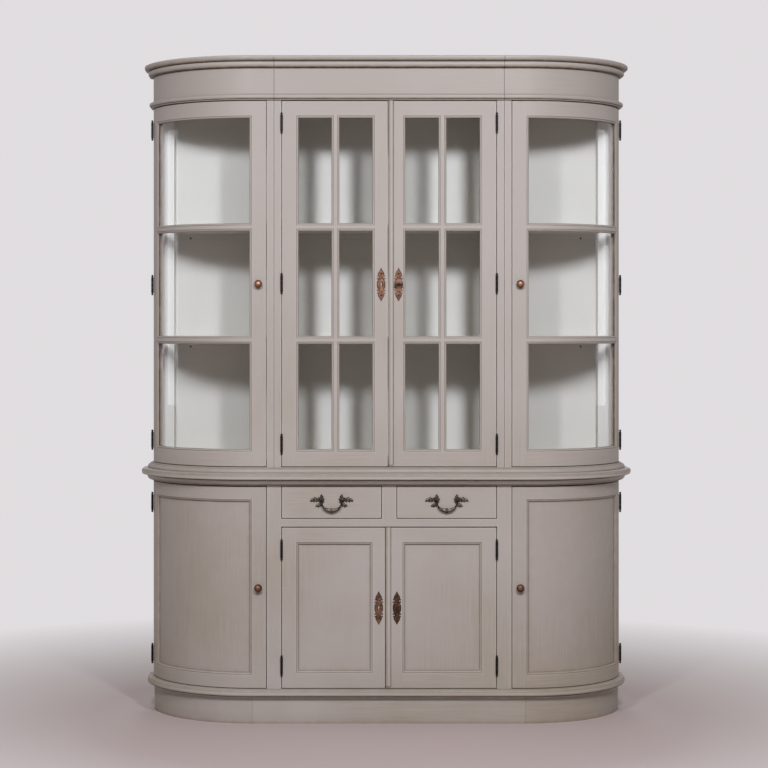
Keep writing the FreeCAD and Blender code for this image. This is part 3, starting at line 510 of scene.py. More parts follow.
@dataclass(frozen=True)
class Plan:
    """The dresser from above: a flat centre that reaches into the bowed doors, bows, and straight ends."""

    front_y: float
    back_y: float
    carcass_back_y: float
    flat_half: float
    body_half: float
    bow_depth: float

    @classmethod
    def from_frame(cls) -> "Plan":
        """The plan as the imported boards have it."""
        sides_low, sides_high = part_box("upper_sides")
        posts_low, posts_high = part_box("end_posts")
        return cls(front_y=sides_low.y, back_y=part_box("back_panels")[1].y, carcass_back_y=sides_high.y,
                   flat_half=sides_high.x + DOOR_GAP + BOW_FLAT, body_half=posts_high.x,
                   bow_depth=posts_low.y - sides_low.y)

    @property
    def radius(self) -> float:
        """Radius of the bow, from its width and depth."""
        width = self.body_half - self.flat_half
        return (width**2 + self.bow_depth**2) / (2 * self.bow_depth)

    @property
    def centre_y(self) -> float:
        """Where the bow's centre lies behind the front."""
        return self.front_y + self.radius

    @property
    def bow_length(self) -> float:
        """Length of a bowed end along the door faces: the flat strip and the arc."""
        return BOW_FLAT + self.radius * math.asin((self.body_half - self.flat_half) / self.radius)

    def half_run(self, offset: Array, start_x: float, back_y: float) -> Array:
        """The right-hand half of the edge, for each distance outside the door faces.

        A point runs level along the front, round an arc about the bow's centre whose radius has the distance
        added, and straight back along the end.

        Args:
            offset: Distances outside the door faces.
            start_x: Where the run starts on the flat front.
            back_y: Where it ends.

        Returns:
            Points as (steps, distances, 2).
        """
        radius = self.radius + offset
        end_x = self.body_half + offset
        end_angle = np.arcsin((end_x - self.flat_half) / radius)
        angle = np.linspace(0, 1, BOW_STEPS)[:, None] * end_angle
        bow_x = self.flat_half + radius * np.sin(angle)
        bow = np.stack([bow_x, self.centre_y - radius * np.cos(angle)], axis=-1)
        start = np.stack([np.full_like(offset, start_x), self.front_y - offset], axis=-1)
        end = np.stack([end_x, np.full_like(offset, back_y)], axis=-1)
        return np.concatenate([start[None], bow, end[None]])

    def front_at(self, x: Array, offset: float) -> Array:
        """How far forward the plan reaches at each x, at a distance outside the door faces."""
        out = np.maximum(np.abs(x) - self.flat_half, 0)
        return self.centre_y - np.sqrt((self.radius + offset)**2 - out**2)

    def face_middle(self, node: str) -> tuple[float, float, float]:
        """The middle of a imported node, brought forward to the door faces."""
        low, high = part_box(node)
        return (low.x + high.x) / 2, self.front_y, (low.z + high.z) / 2

    def strip(self, edge: Moulding, half: float) -> Shape:
        """A closed moulding carried straight along the flat front, from left of the middle to right of it."""
        offset, height = edge.points.T
        return swept(points_at(np.array([-half, half])[:, None], self.front_y - offset, height), edge.recess)

    def ring(self, edge: Moulding, start_x: float, back_y: float) -> Shape:
        """A closed moulding carried along the right-hand half of the edge."""
        offset, height = edge.points.T
        run = self.half_run(offset, start_x, back_y)
        return swept(points_at(run[..., 0], run[..., 1], height), edge.recess)

    def slab(self, edge: Moulding, back_y: float, x: Span | None = None) -> Shape:
        """A level board with a moulding for its edge: rings round it, then a top and a bottom.

        Args:
            edge: The moulding, from below to above.
            back_y: The back edge.
            x: Limits, where the board is a part of the width; one outside the flat front takes in the bow.

        Returns:
            The closed board.
        """
        offset, height = edge.points.T

        def side_run(limit: float) -> Array:
            """One end from front to back: round the bow, or straight at a limit on the flat front."""
            if abs(limit) > self.flat_half:
                run = self.half_run(offset, self.flat_half, back_y)[1:]
            else:
                depth = np.stack([self.front_y - offset, np.full_like(offset, back_y)])
                run = np.stack([np.full_like(depth, abs(limit)), depth], axis=-1)
            return run * [math.copysign(1, limit), 1]

        low_x, high_x = x or (-self.body_half, self.body_half)
        run = np.concatenate([side_run(low_x)[::-1], side_run(high_x)])
        return swept(points_at(run[..., 0], run[..., 1], height), edge.recess, loop=True, closed=False)

    def shelf(self, offset: float, x: Span, z: Span, back_y: float) -> Shape:
        """A level board between two places of the width, its front edge following the plan."""
        bent = max(abs(x[0]), abs(x[1])) > self.flat_half
        xs = np.linspace(*x, BOW_STEPS if bent else 2)
        front = self.front_at(xs, offset)
        back = np.full_like(xs, back_y)
        ring_y = np.stack([front, front, back, back], axis=1)
        ring_z = np.array([z[0], z[1], z[1], z[0]])
        return swept(points_at(xs[:, None], ring_y, ring_z))

    def on_flat(self, shape: Shape) -> Shape:
        """A door laid out flat, set behind the front."""
        return shape.shifted((0, self.front_y, 0))

    def on_bow(self, shape: Shape, side: Side) -> Shape:
        """A door laid out flat, bent past its flat strip: x is length of arc, y depth inside the radius."""
        along, depth, z = shape.points.T
        radius = self.radius - depth
        angle = np.maximum(along - BOW_FLAT, 0) / self.radius
        x = self.flat_half + np.minimum(along - BOW_FLAT, 0) + radius * np.sin(angle)
        return shape.moved(np.stack([x, self.centre_y - radius * np.cos(angle), z], axis=1)).on_side(side)


# Node trees


class Kit:
    """Short forms for building one node tree."""

    def __init__(self, tree: bpy.types.NodeTree) -> None:
        """Keeps the tree that it builds in."""
        self.tree = tree

    def add(self, kind: str, inputs: dict | None = None, **settings: object) -> bpy.types.Node:
        """Adds a shader node.

        Args:
            kind: The node's type without its common beginning.
            inputs: Values or sockets for its inputs, by name or number.
            **settings: Its other properties.

        Returns:
            The node.
        """
        node = self.tree.nodes.new("ShaderNode" + kind)
        for key, value in settings.items():
            setattr(node, key, value)
        self.feed_all(node, inputs or {})
        return node

    def feed(self, socket: bpy.types.NodeSocket, value: object) -> None:
        """Links a socket into an input, or sets the input's value."""
        if isinstance(value, bpy.types.NodeSocket):
            self.tree.links.new(value, socket)
        else:
            socket.default_value = value

    def feed_all(self, node: bpy.types.Node, inputs: dict) -> None:
        """Feeds several inputs of a node, by name or number."""
        for key, value in inputs.items():
            self.feed(node.inputs[key], value)

    def math(self, operation: str, first: object, second: object,
             clamp: bool = False) -> bpy.types.NodeSocket:
        """One sum of two values."""
        return self.add("Math", {0: first, 1: second}, operation=operation, use_clamp=clamp).outputs[0]

    def ranged(self, value: object, low: Span, high: Span) -> bpy.types.NodeSocket:
        """A value carried from one range to another, and held inside it."""
        ends = {"Value": value, "From Min": low[0], "From Max": low[1], "To Min": high[0], "To Max": high[1]}
        return self.add("MapRange", ends).outputs[0]

    def mix(self, factor: object, first: object, second: object) -> bpy.types.NodeSocket:
        """Two colours mixed."""
        return self.add("Mix", {0: factor, 6: first, 7: second}, data_type="RGBA").outputs[2]

    def noise(self, place: object, scale: object, detail: float = 2.0) -> bpy.types.NodeSocket:
        """Cloudy noise, from 0 to 1."""
        return self.add("TexNoise", {"Vector": place, "Scale": scale, "Detail": detail}).outputs[0]

    def bump(self, height: object, strength: float, distance: float) -> bpy.types.NodeSocket:
        """A normal raised by a height."""
        return self.add("Bump", {"Height": height, "Strength": strength, "Distance": distance}).outputs[0]

    def group(self, tree: bpy.types.NodeTree, inputs: dict) -> bpy.types.Node:
        """Places a node group with its own values."""
        return self.add("Group", inputs, node_tree=tree)

    def attribute(self, name: str, output: str) -> bpy.types.NodeSocket:
        """A value that the piece carries at its points."""
        return self.add("Attribute", attribute_name=name).outputs[output]

    def place(self) -> bpy.types.NodeSocket:
        """The point's place on the object."""
        return self.add("TexCoord").outputs["Object"]

    def seen(self) -> bpy.types.NodeSocket:
        """1 for a ray from the camera, direct or by way of a gloss or a pane, and 0 for other light."""
        path = self.add("LightPath").outputs
        mirrored = self.math("MAXIMUM", path["Is Glossy Ray"], path["Is Transmission Ray"])
        return self.math("MAXIMUM", path["Is Camera Ray"], mirrored)

    def surface(self, shader: bpy.types.NodeSocket) -> None:
        """Joins a shader to the tree's output, of a material or of the world."""
        output = next(node for node in self.tree.nodes if node.type.startswith("OUTPUT"))
        self.feed(output.inputs["Surface"], shader)


@dataclass
class GroupSockets:
    """A new node group: its kit, what it is given and the node that takes what it makes."""

    kit: Kit
    given: bpy.types.NodeOutputs
    made: bpy.types.NodeInputs


def open_group(name: str, inputs: dict[str, str], outputs: dict[str, str]) -> GroupSockets:
    """Starts a node group with named sockets.

    Args:
        name: The group's name.
        inputs: Kind of each input, by name.
        outputs: Kind of each output, by name.

    Returns:
        The group's sockets, ready to be joined.
    """
    tree = bpy.data.node_groups.new(name, "ShaderNodeTree")
    for way, sockets in (("INPUT", inputs), ("OUTPUT", outputs)):
        for label, kind in sockets.items():
            tree.interface.new_socket(label, in_out=way, socket_type="NodeSocket" + kind)
    given = tree.nodes.new("NodeGroupInput")
    made = tree.nodes.new("NodeGroupOutput")
    return GroupSockets(Kit(tree), given.outputs, made.inputs)


@functools.cache
def brush_marks() -> bpy.types.NodeTree:
    """Streaks of a brush: noise drawn out along the grain and squeezed across it, coarse and fine."""
    group = open_group("brush marks", {"Grain": "Vector"}, {"Streak": "Float"})
    kit = group.kit
    coarse = kit.add("Mapping", {"Vector": group.given["Grain"], "Scale": (5.0, 160.0, 30.0)}).outputs[0]
    fine = kit.add("Mapping", {"Vector": group.given["Grain"], "Scale": (11.0, 620.0, 60.0)}).outputs[0]
    both = kit.math("ADD", kit.noise(coarse, 1.0, 3.0), kit.noise(fine, 1.0, 2.0))
    kit.feed(group.made["Streak"], kit.math("MULTIPLY", both, 0.5))
    return kit.tree


@functools.cache
def glaze_coat() -> bpy.types.NodeTree:
    """Paint under a glaze: a wash in patches, more low down; glaze with painted shade brown and dark, wear
    with painted highlights pale.
    """
    group = open_group(
        "glaze coat",
        {"Place": "Vector", "Streak": "Float", "Recess": "Float", "Paint": "Color", "Wash": "Color",
         "Glaze": "Color", "Dark": "Color", "Pale": "Color", "Strength": "Float", "Veil": "Float"},
        {"Color": "Color", "Mask": "Float"})
    kit, given = group.kit, group.given
    broken = kit.ranged(kit.noise(given["Place"], 38.0, 4.0), (0.3, 0.7), (0.7, 1.12))
    thick = kit.math("MULTIPLY", kit.math("MULTIPLY", given["Recess"], given["Strength"]), broken, clamp=True)
    drift = kit.ranged(kit.noise(given["Place"], 2.6, 4.0), (0.35, 0.7), (0.0, 1.0))
    brushed = kit.ranged(given["Streak"], (0.35, 0.65), (0.4, 1.3))
    height = kit.add("SeparateXYZ", {0: given["Place"]}).outputs["Z"]
    # The wash grows towards the bottom, making the lower parts darker
    lower = kit.math("MULTIPLY", kit.ranged(height, (0.4, 1.7), (1.6, 0.5)), given["Veil"])
    veil = kit.math("MULTIPLY", kit.math("MULTIPLY", drift, brushed), lower, clamp=True)
    # Below 0 the recess value turns the paint pale: wear together with painted highlights
    wear_and_highlight = kit.math("MULTIPLY", kit.ranged(given["Recess"], (0.0, -1.0), (0.0, 1.0)), broken, clamp=True)
    washed = kit.mix(wear_and_highlight, kit.mix(veil, given["Paint"], given["Wash"]), given["Pale"])
    # Brown, then dark, as the recess value grows: glaze together with painted shade
    brown = kit.mix(kit.ranged(thick, (0.0, 0.6), (0.0, 0.85)), washed, given["Glaze"])
    kit.feed(group.made["Color"], kit.mix(kit.ranged(thick, (0.5, 0.95), (0.0, 0.95)), brown, given["Dark"]))
    kit.feed(group.made["Mask"], thick)
    return kit.tree


@functools.cache
def patina() -> bpy.types.NodeTree:
    """Aged metal: bright where it is handled, dark in the recesses and in cloudy patches."""
    group = open_group("patina", {"Place": "Vector", "Recess": "Float", "Bright": "Color", "Dark": "Color",
                                  "Cloud": "Float"}, {"Color": "Color", "Mask": "Float"})
    kit, given = group.kit, group.given
    cloud = kit.ranged(kit.noise(given["Place"], 130.0, 5.0), (0.35, 0.68), (0.0, 1.0))
    mask = kit.math("ADD", given["Recess"], kit.math("MULTIPLY", cloud, given["Cloud"]), clamp=True)
    kit.feed(group.made["Color"], kit.mix(mask, given["Bright"], given["Dark"]))
    kit.feed(group.made["Mask"], mask)
    return kit.tree


def surface_kit(name: str) -> tuple[bpy.types.Material, Kit, bpy.types.Node]:
    """A new material with its kit and its surface shader."""
    material = bpy.data.materials.new(name)
    material.use_nodes = True
    return material, Kit(material.node_tree), material.node_tree.nodes["Principled BSDF"]


# Finishes


@dataclass(frozen=True)
class PaintFinish:
    """Brushed, waxed paint with glaze left in the mouldings; bounced is its darker colour in passed-on light,
    a painted shade.
    """

    name: str
    paint: Colour
    wash: Colour
    glaze: Colour
    dark: Colour
    pale: Colour
    strength: float
    veil: float
    roughness: Span
    brush_depth: float
    wax: float = 0.0
    wax_roughness: float = 0.17
    sheen: float = 0.42
    bounced: Colour | None = None

    def material(self) -> bpy.types.Material:
        """Builds the material."""
        material, kit, shader = surface_kit(self.name)
        streak = kit.group(brush_marks(), {"Grain": kit.attribute("grain", "Vector")}).outputs["Streak"]
        coat = kit.group(glaze_coat(), {
            "Place": kit.place(), "Streak": streak, "Recess": kit.attribute("recess", "Fac"),
            "Paint": self.paint, "Wash": self.wash, "Glaze": self.glaze, "Dark": self.dark, "Pale": self.pale,
            "Strength": self.strength, "Veil": self.veil})
        colour = coat.outputs["Color"]
        # Passed-on light takes a darker colour: painted shade within the cupboards
        if self.bounced:
            colour = kit.mix(kit.add("LightPath").outputs["Is Diffuse Ray"], colour, self.bounced)
        kit.feed_all(shader, {
            "Base Color": colour, "Roughness": kit.ranged(coat.outputs["Mask"], (0.0, 1.0), self.roughness),
            "Normal": kit.bump(streak, 0.35, self.brush_depth), "Specular IOR Level": self.sheen,
            "Coat Weight": self.wax, "Coat Roughness": self.wax_roughness})
        return material


@dataclass(frozen=True)
class MetalFinish:
    """Aged metal with a cloudy patina."""

    name: str
    bright: Colour
    dark: Colour
    cloud: float
    roughness: Span
    metallic: float

    def material(self) -> bpy.types.Material:
        """Builds the material."""
        material, kit, shader = surface_kit(self.name)
        place = kit.place()
        skin = kit.group(patina(), {"Place": place, "Recess": kit.attribute("recess", "Fac"),
                                    "Bright": self.bright, "Dark": self.dark, "Cloud": self.cloud})
        kit.feed_all(shader, {
            "Base Color": skin.outputs["Color"],
            "Roughness": kit.ranged(skin.outputs["Mask"], (0.0, 1.0), self.roughness),
            "Normal": kit.bump(kit.noise(place, 420.0, 3.0), 0.25, 0.3 * MM), "Metallic": self.metallic})
        return material


@dataclass(frozen=True)
class WoodFinish:
    """Bare wood: dark and pale bands that wander along the grain, under fine pores."""

    name: str
    pale: Colour
    dark: Colour
    roughness: float

    def material(self) -> bpy.types.Material:
        """Builds the material."""
        material, kit, shader = surface_kit(self.name)
        grain = kit.attribute("grain", "Vector")
        drawn = kit.add("Mapping", {"Vector": grain, "Scale": (2.5, 42.0, 42.0)}).outputs[0]
        bands = kit.add("TexWave", {"Vector": drawn, "Scale": 0.5, "Distortion": 7.0, "Detail": 3.0,
                                    "Detail Scale": 0.8}, bands_direction="Y").outputs[1]
        streak = kit.group(brush_marks(), {"Grain": grain}).outputs["Streak"]
        broad, fine = kit.math("MULTIPLY", bands, 0.45), kit.math("MULTIPLY", streak, 0.6)
        tone = kit.math("ADD", broad, fine, clamp=True)
        kit.feed_all(shader, {"Base Color": kit.mix(tone, self.pale, self.dark), "Roughness": self.roughness,
                              "Normal": kit.bump(streak, 0.4, 0.2 * MM)})
        return material


@dataclass(frozen=True)
class GlassFinish:
    """Clear sheet glass, faintly uneven, that lets the lamps through."""

    name: str
    tint: Colour
    ior: float

    def material(self) -> bpy.types.Material:
        """Builds the material."""
        material, kit, shader = surface_kit(self.name)
        uneven = kit.bump(kit.noise(kit.place(), 9.0, 1.0), 0.03, 1.5 * MM)
        kit.feed_all(shader, {"Base Color": self.tint, "Roughness": 0.0, "IOR": self.ior,
                              "Transmission Weight": 1.0, "Normal": uneven})
        clear = kit.add("BsdfTransparent", {"Color": self.tint}).outputs[0]
        path = kit.add("LightPath").outputs
        through = kit.math("MAXIMUM", path["Is Shadow Ray"], path["Is Diffuse Ray"])
        kit.surface(kit.add("MixShader", {0: through, 1: shader.outputs[0], 2: clear}).outputs[0])
        return material


FINISHES = {
    Slot.PAINT: PaintFinish(
        "taupe paint", paint=(0.386, 0.336, 0.312, 1), wash=(0.29, 0.24, 0.172, 1),
        glaze=(0.15, 0.1, 0.054, 1), dark=(0.036, 0.028, 0.019, 1), pale=(0.62, 0.6, 0.58, 1),
        strength=1.0, veil=0.42, roughness=(0.54, 0.66), brush_depth=0.16 * MM, wax=0.03),
    Slot.WHITE: PaintFinish(
        "white paint", paint=(0.605, 0.592, 0.57, 1), wash=(0.5, 0.48, 0.44, 1),
        glaze=(0.36, 0.32, 0.26, 1), dark=(0.2, 0.17, 0.13, 1), pale=(0.6, 0.58, 0.54, 1),
        strength=0.5, veil=0.12, roughness=(0.46, 0.6), brush_depth=0.12 * MM,
        # Darker olive colour for passed-on light: painted shade inside the cupboards
        bounced=(0.48, 0.44, 0.335, 1)),
    Slot.WOOD: WoodFinish("drawer wood", pale=(0.58, 0.45, 0.3, 1), dark=(0.4, 0.28, 0.16, 1),
                          roughness=0.55),
    Slot.GLASS: GlassFinish("sheet glass", tint=(0.985, 0.985, 0.985, 1), ior=1.25),
    Slot.COPPER: MetalFinish("aged copper", bright=(0.37, 0.18, 0.11, 1), dark=(0.045, 0.02, 0.012, 1),
                             cloud=0.45, roughness=(0.3, 0.6), metallic=0.75),
    Slot.BRONZE: MetalFinish("dark bronze", bright=(0.24, 0.185, 0.14, 1), dark=(0.02, 0.015, 0.012, 1),
                             cloud=0.5, roughness=(0.36, 0.6), metallic=0.7),
    Slot.IRON: MetalFinish("black iron", bright=(0.02, 0.019, 0.017, 1), dark=(0.009, 0.008, 0.007, 1),
                           cloud=0.4, roughness=(0.4, 0.55), metallic=1.0),
    Slot.STEEL: MetalFinish("lock steel", bright=(0.46, 0.44, 0.4, 1), dark=(0.16, 0.13, 0.1, 1),
                            cloud=0.5, roughness=(0.3, 0.5), metallic=0.95),
}


def placed_object(name: str, data: bpy.types.ID) -> bpy.types.Object:
    """A new object in the scene."""
    made = bpy.data.objects.new(name, data)
    bpy.context.scene.collection.objects.link(made)
    return made


class Workshop:
    """Makes pieces: puts a shape into a mesh, gives it its finish and sets it on its body."""

    def __init__(self) -> None:
        """Makes every finish once."""
        self.materials = {slot: finish.material() for slot, finish in FINISHES.items()}

    def make(self, name: str, shapes: Sequence[Shape], slots: Sequence[Slot], body: str,
             replaces: Sequence[str] = (), ease: float = 0.0, weld: bool = False) -> bpy.types.Object:
        """Makes one piece.

        Args:
            name: The piece's name.
            shapes: Its shells, in the shared frame.
            slots: Its finishes, in the order that its faces number them.
            body: The body it rides on.
            replaces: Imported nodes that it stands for.
            ease: Width of the rounding on its sharp edges, or 0.
            weld: Whether points that coincide become one.

        Returns:
            The finished object.
        """
        shape = Shape.joined(shapes)
        mesh = bpy.data.meshes.new(name)
        faces = shape.quads.tolist() + [cover.tolist() for cover in shape.covers]
        mesh.from_pydata(shape.points.tolist(), [], faces)
        mesh.polygons.foreach_set("material_index", shape.skins.astype(np.int32))
        recess = mesh.attributes.new("recess", "FLOAT", "POINT")
        recess.data.foreach_set("value", shape.recess.astype(np.float32))
        corners = np.array([point for face in faces for point in face])
        grain = shape.grain[corners]
        turned = np.repeat(shape.cross.astype(bool), [len(face) for face in faces])
        grain[turned] = grain[turned][:, [1, 0, 2]]
        along = mesh.attributes.new("grain", "FLOAT_VECTOR", "CORNER")
        along.data.foreach_set("vector", grain.astype(np.float32).ravel())
        self.face_outwards(mesh, weld)
        mesh.polygons.foreach_set("use_smooth", np.ones(len(mesh.polygons), bool))
        mesh.set_sharp_from_angle(angle=SHARP_ANGLE)
        piece = placed_object(name, mesh)
        for slot in slots:
            mesh.materials.append(self.materials[slot])
        if ease:
            self.ease_edges(piece, ease)
        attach(piece, body)
        if replaces:
            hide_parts(*replaces)
        log.info("%s on %s: %d points", name, body, len(mesh.vertices))
        return piece

    @staticmethod
    def face_outwards(mesh: bpy.types.Mesh, weld: bool) -> None:
        """Merges points if asked, and turns every shell's faces outwards."""
        work = bmesh.new()
        work.from_mesh(mesh)
        if weld:
            bmesh.ops.remove_doubles(work, verts=work.verts, dist=0.01 * MM)
        bmesh.ops.recalc_face_normals(work, faces=work.faces)
        work.to_mesh(mesh)
        work.free()

    @staticmethod
    def ease_edges(piece: bpy.types.Object, width: float) -> None:
        """Rounds the sharp edges of a piece."""
        bevel = piece.modifiers.new("eased edges", "BEVEL")
        bevel.width = width
        bevel.segments = BEVEL_SEGMENTS
        bevel.limit_method = "ANGLE"
        bevel.angle_limit = BEVEL_ANGLE
        bevel.harden_normals = True


# Sub-assemblies


@dataclass
class Base:
    """Plinth, floor with its nosing, and the waist that carries the upper part; bare sizes in millimetres."""

    plan: Plan
    shop: Workshop
    plinth_thickness: float = 22 * MM
    plinth_setback: float = 3 * MM
    floor_nose: float = 13.0
    floor_overhang: float = 20.0
    waist_roll_height: float = 20.0
    waist_board: float = 22.0
    waist_overhang: float = 39.9

    def build(self) -> None:
        """Makes the pieces from the ground to the waist."""
        self.plinth()
        self.floor()
        self.waist()

    def plinth(self) -> None:
        """Front board, bowed ends and back rail."""
        plan = self.plan
        low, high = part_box("plinth")
        face = -self.plinth_setback / MM
        inner = -(self.plinth_setback + self.plinth_thickness) / MM
        top = (high.z - low.z) / MM
        levels = np.array([0, 3, 12, 40, top - 18, top - 9, top])
        outer = np.stack([np.full_like(levels, face), levels], axis=1)
        # Darker at the foot, glaze with painted shade against the floor; pale at the top, a painted highlight
        # in the shade under the floor's nosing
        edge = Moulding.of((outer, [0.5, 0.25, 0.08, 0.0, 0.0, -0.3, -1.0]),
                           ([(inner, top), (inner, 0)], 0.0))
        end = plan.ring(edge, plan.flat_half + JOINT_GAP, plan.back_y).washed(BOW_DARKENING)
        front = plan.strip(edge, plan.flat_half)
        inner_x = plan.body_half - self.plinth_setback - self.plinth_thickness
        rail = plank((-inner_x, plan.back_y - self.plinth_thickness, low.z), (inner_x, plan.back_y, high.z))
        self.shop.make("plinth_boards", [front, end, end.mirrored(), rail], [Slot.PAINT], "carcass",
                       ["plinth"], EDGE_EASE)

    def floor(self) -> None:
        """The base floor with its half-round nosing."""
        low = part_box("base_floor")[0]
        nose = half_round((self.floor_overhang - self.floor_nose, self.floor_nose), self.floor_nose)
        # Dark on the nosing's underside, painted shade; pale across its face, a painted highlight; glaze with
        # painted shade towards the crease above
        edge = Moulding.of(by_height(nose, {0: 1.0, 0.07: 1.0, 0.15: 0.5, 0.3: -0.1, 0.45: -0.2, 0.56: -0.05,
                                            0.68: 0.32, 0.85: 0.34, 1: 0.2})).raised(low.z)
        board_shape = self.plan.slab(edge, self.plan.back_y)
        self.shop.make("base_floor_board", [board_shape], [Slot.PAINT], "carcass", ["base_floor"])

    def waist(self) -> None:
        """Rail with a roll, nosed board and the rounded lip above it."""
        plan = self.plan
        low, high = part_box("waist_top")
        foot = self.waist_roll_height
        roll = quarter((5, 1.2), (21, foot - 2.5), True)
        # Painted shade low on the roll and in the line under the board, with glaze; a painted highlight
        # towards its top
        rail = Moulding.of(([(-45, 0), (4, 0)], [0, 0.2]),
                           by_height(roll, {0: 0.5, 0.15: 0.5, 0.4: 0.3, 0.7: -0.4, 1: -0.8}),
                           ([(18, foot - 2.2), (18, foot), (-45, foot)], [1.0, 1.0, 0])).raised(low.z)
        roll_ring = plan.ring(rail, 0.0, plan.carcass_back_y)
        radius = self.waist_board / 2
        nose = half_round((self.waist_overhang - radius, foot + radius), radius)
        # Dark at the nose's foot and across its upper middle, glaze with painted shade; pale low on its face
        # and at its top, painted highlights
        board_edge = Moulding.of(by_height(nose, {0: 1.0, 0.06: 0.2, 0.12: -0.3, 0.27: -0.42, 0.42: -0.05,
                                                  0.57: 0.16, 0.72: 0.4, 0.87: 0.3, 1: -0.2})).raised(low.z)
        lip_foot = foot + self.waist_board
        lip_top = (high.z - low.z) / MM
        turn = quarter((18, lip_foot + 1.2), (20, lip_foot + 4.5), True, 5)[:-1]
        swell = quarter((20, lip_foot + 4.5), (9, lip_top - 3), False)
        # Pale in the crease above the board, a painted highlight against its shade; glaze up the swell and at
        # the top
        lip = Moulding.of(([(17, lip_foot), (17, lip_foot + 0.8)], -0.4), (turn, [-0.4, -0.4, -0.25, 0.0]),
                          (swell, np.linspace(0.08, 0.3, len(swell))),
                          ([(8.5, lip_top - 3.2), (8.2, lip_top - 0.8), (6.5, lip_top)], [0.3, 0.1, 0.3])
                          ).raised(low.z)
        shapes = [roll_ring, roll_ring.mirrored(), plan.slab(board_edge, plan.back_y),
                  plan.slab(lip, plan.back_y)]
        self.shop.make("waist_mouldings", shapes, [Slot.PAINT], "carcass", ["waist_top"])


@dataclass
class Crown:
    """Friezes and cornices of the three upper modules, which meet in open joints; sizes in millimetres."""

    plan: Plan
    shop: Workshop
    frieze_thickness: float = 22.0
    bead_height: float = 21.0
    bead_overhang: float = 14.0
    roll_height: float = 22.0
    roll_overhang: float = 17.5
    cornice_overhang: float = 30.0

    def build(self) -> None:
        """Makes the friezes and the cornices."""
        joint = (self.module_side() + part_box("upper_sides")[1].x) / 2
        self.friezes(joint)
        self.cornices(joint)

    @staticmethod
    def module_side() -> float:
        """Inner edge of a pilaster, where the centre doors begin."""
        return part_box("upper_right_door_frame")[1].x + DOOR_GAP

    def friezes(self, joint: float) -> None:
        """Frieze boards with a fillet, a bead and a small cove at the foot, and a roll at the head."""
        plan = self.plan
        low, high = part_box("friezes")
        tall = (high.z - low.z) / MM
        foot, reach = self.bead_height, self.bead_overhang
        bead = half_round((reach - 7.4, 10.2), 7.4, 0.65)
        cove = quarter((reach - 7.6, 17.7), (0.8, foot), False)
        head = tall - self.roll_height
        roll = half_round((self.roll_overhang - 9.6, head + 10.6), 9.6, 0.6)
        inner = -self.frieze_thickness
        # Dark at the bead's foot and under the roll, glaze with painted shade; pale at the cove's top, on the
        # bead and on the roll's head, painted highlights
        edge = Moulding.of(
            ([(reach - 5, 0), (reach - 4.2, 0.6), (reach - 4.2, 1.8), (reach - 6.5, 2.2), (reach - 7.4, 2.6)],
             [0.2, 0.0, 0.0, 0.7, 0.7]),
            by_height(bead, {0: 0.7, 0.24: 0.28, 0.47: 0.06, 0.69: -0.06, 1: 0.0}),
            (cove, np.linspace(0.08, -0.3, len(cove))),
            ([(0, foot + 0.6), (0, foot + 4), (0, head - 4), (0, head - 0.5)], [0.0, 0.0, 0.0, 0.9]),
            ([(1.8, head - 0.2)], 1.0),
            by_height(roll, {0: 0.7, 0.13: 0.44, 0.3: 0.27, 0.46: 0.06, 0.62: 0.02, 0.79: -0.25, 1: -0.6}),
            ([(8, tall - 1.8), (8, tall)], 0.0), ([(inner, tall), (inner, 0)], 0.0)).raised(low.z)
        end = plan.ring(edge, joint + JOINT_GAP, plan.carcass_back_y)
        centre = plan.strip(edge, joint - JOINT_GAP)
        self.shop.make("frieze_boards", [centre, end, end.mirrored()], [Slot.PAINT], "carcass", ["friezes"])

    def cornices(self, joint: float) -> None:
        """Cornice boards with a full round nose."""
        plan = self.plan
        low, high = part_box("cornices")
        tall = (high.z - low.z) / MM
        nose = half_round((self.cornice_overhang - tall / 2, tall / 2), tall / 2, 0.55)
        # Darker low on the nose, glaze with painted shade; paler on its upper face, a painted highlight
        glaze = {0: 0.5, 0.125: 0.47, 0.3: 0.28, 0.48: 0.15, 0.66: 0.06, 0.84: -0.4, 1: -0.5}
        edge = Moulding.of(([(13, 0)], 0.0), by_height(nose, glaze)).raised(low.z)
        gap = JOINT_GAP
        spans = [(joint + gap, plan.body_half), (gap - joint, joint - gap)]
        shapes = [plan.slab(edge, plan.back_y, span) for span in spans]
        self.shop.make("cornice_boards", shapes + [shapes[0].mirrored()], [Slot.PAINT], "carcass",
                       ["cornices"])


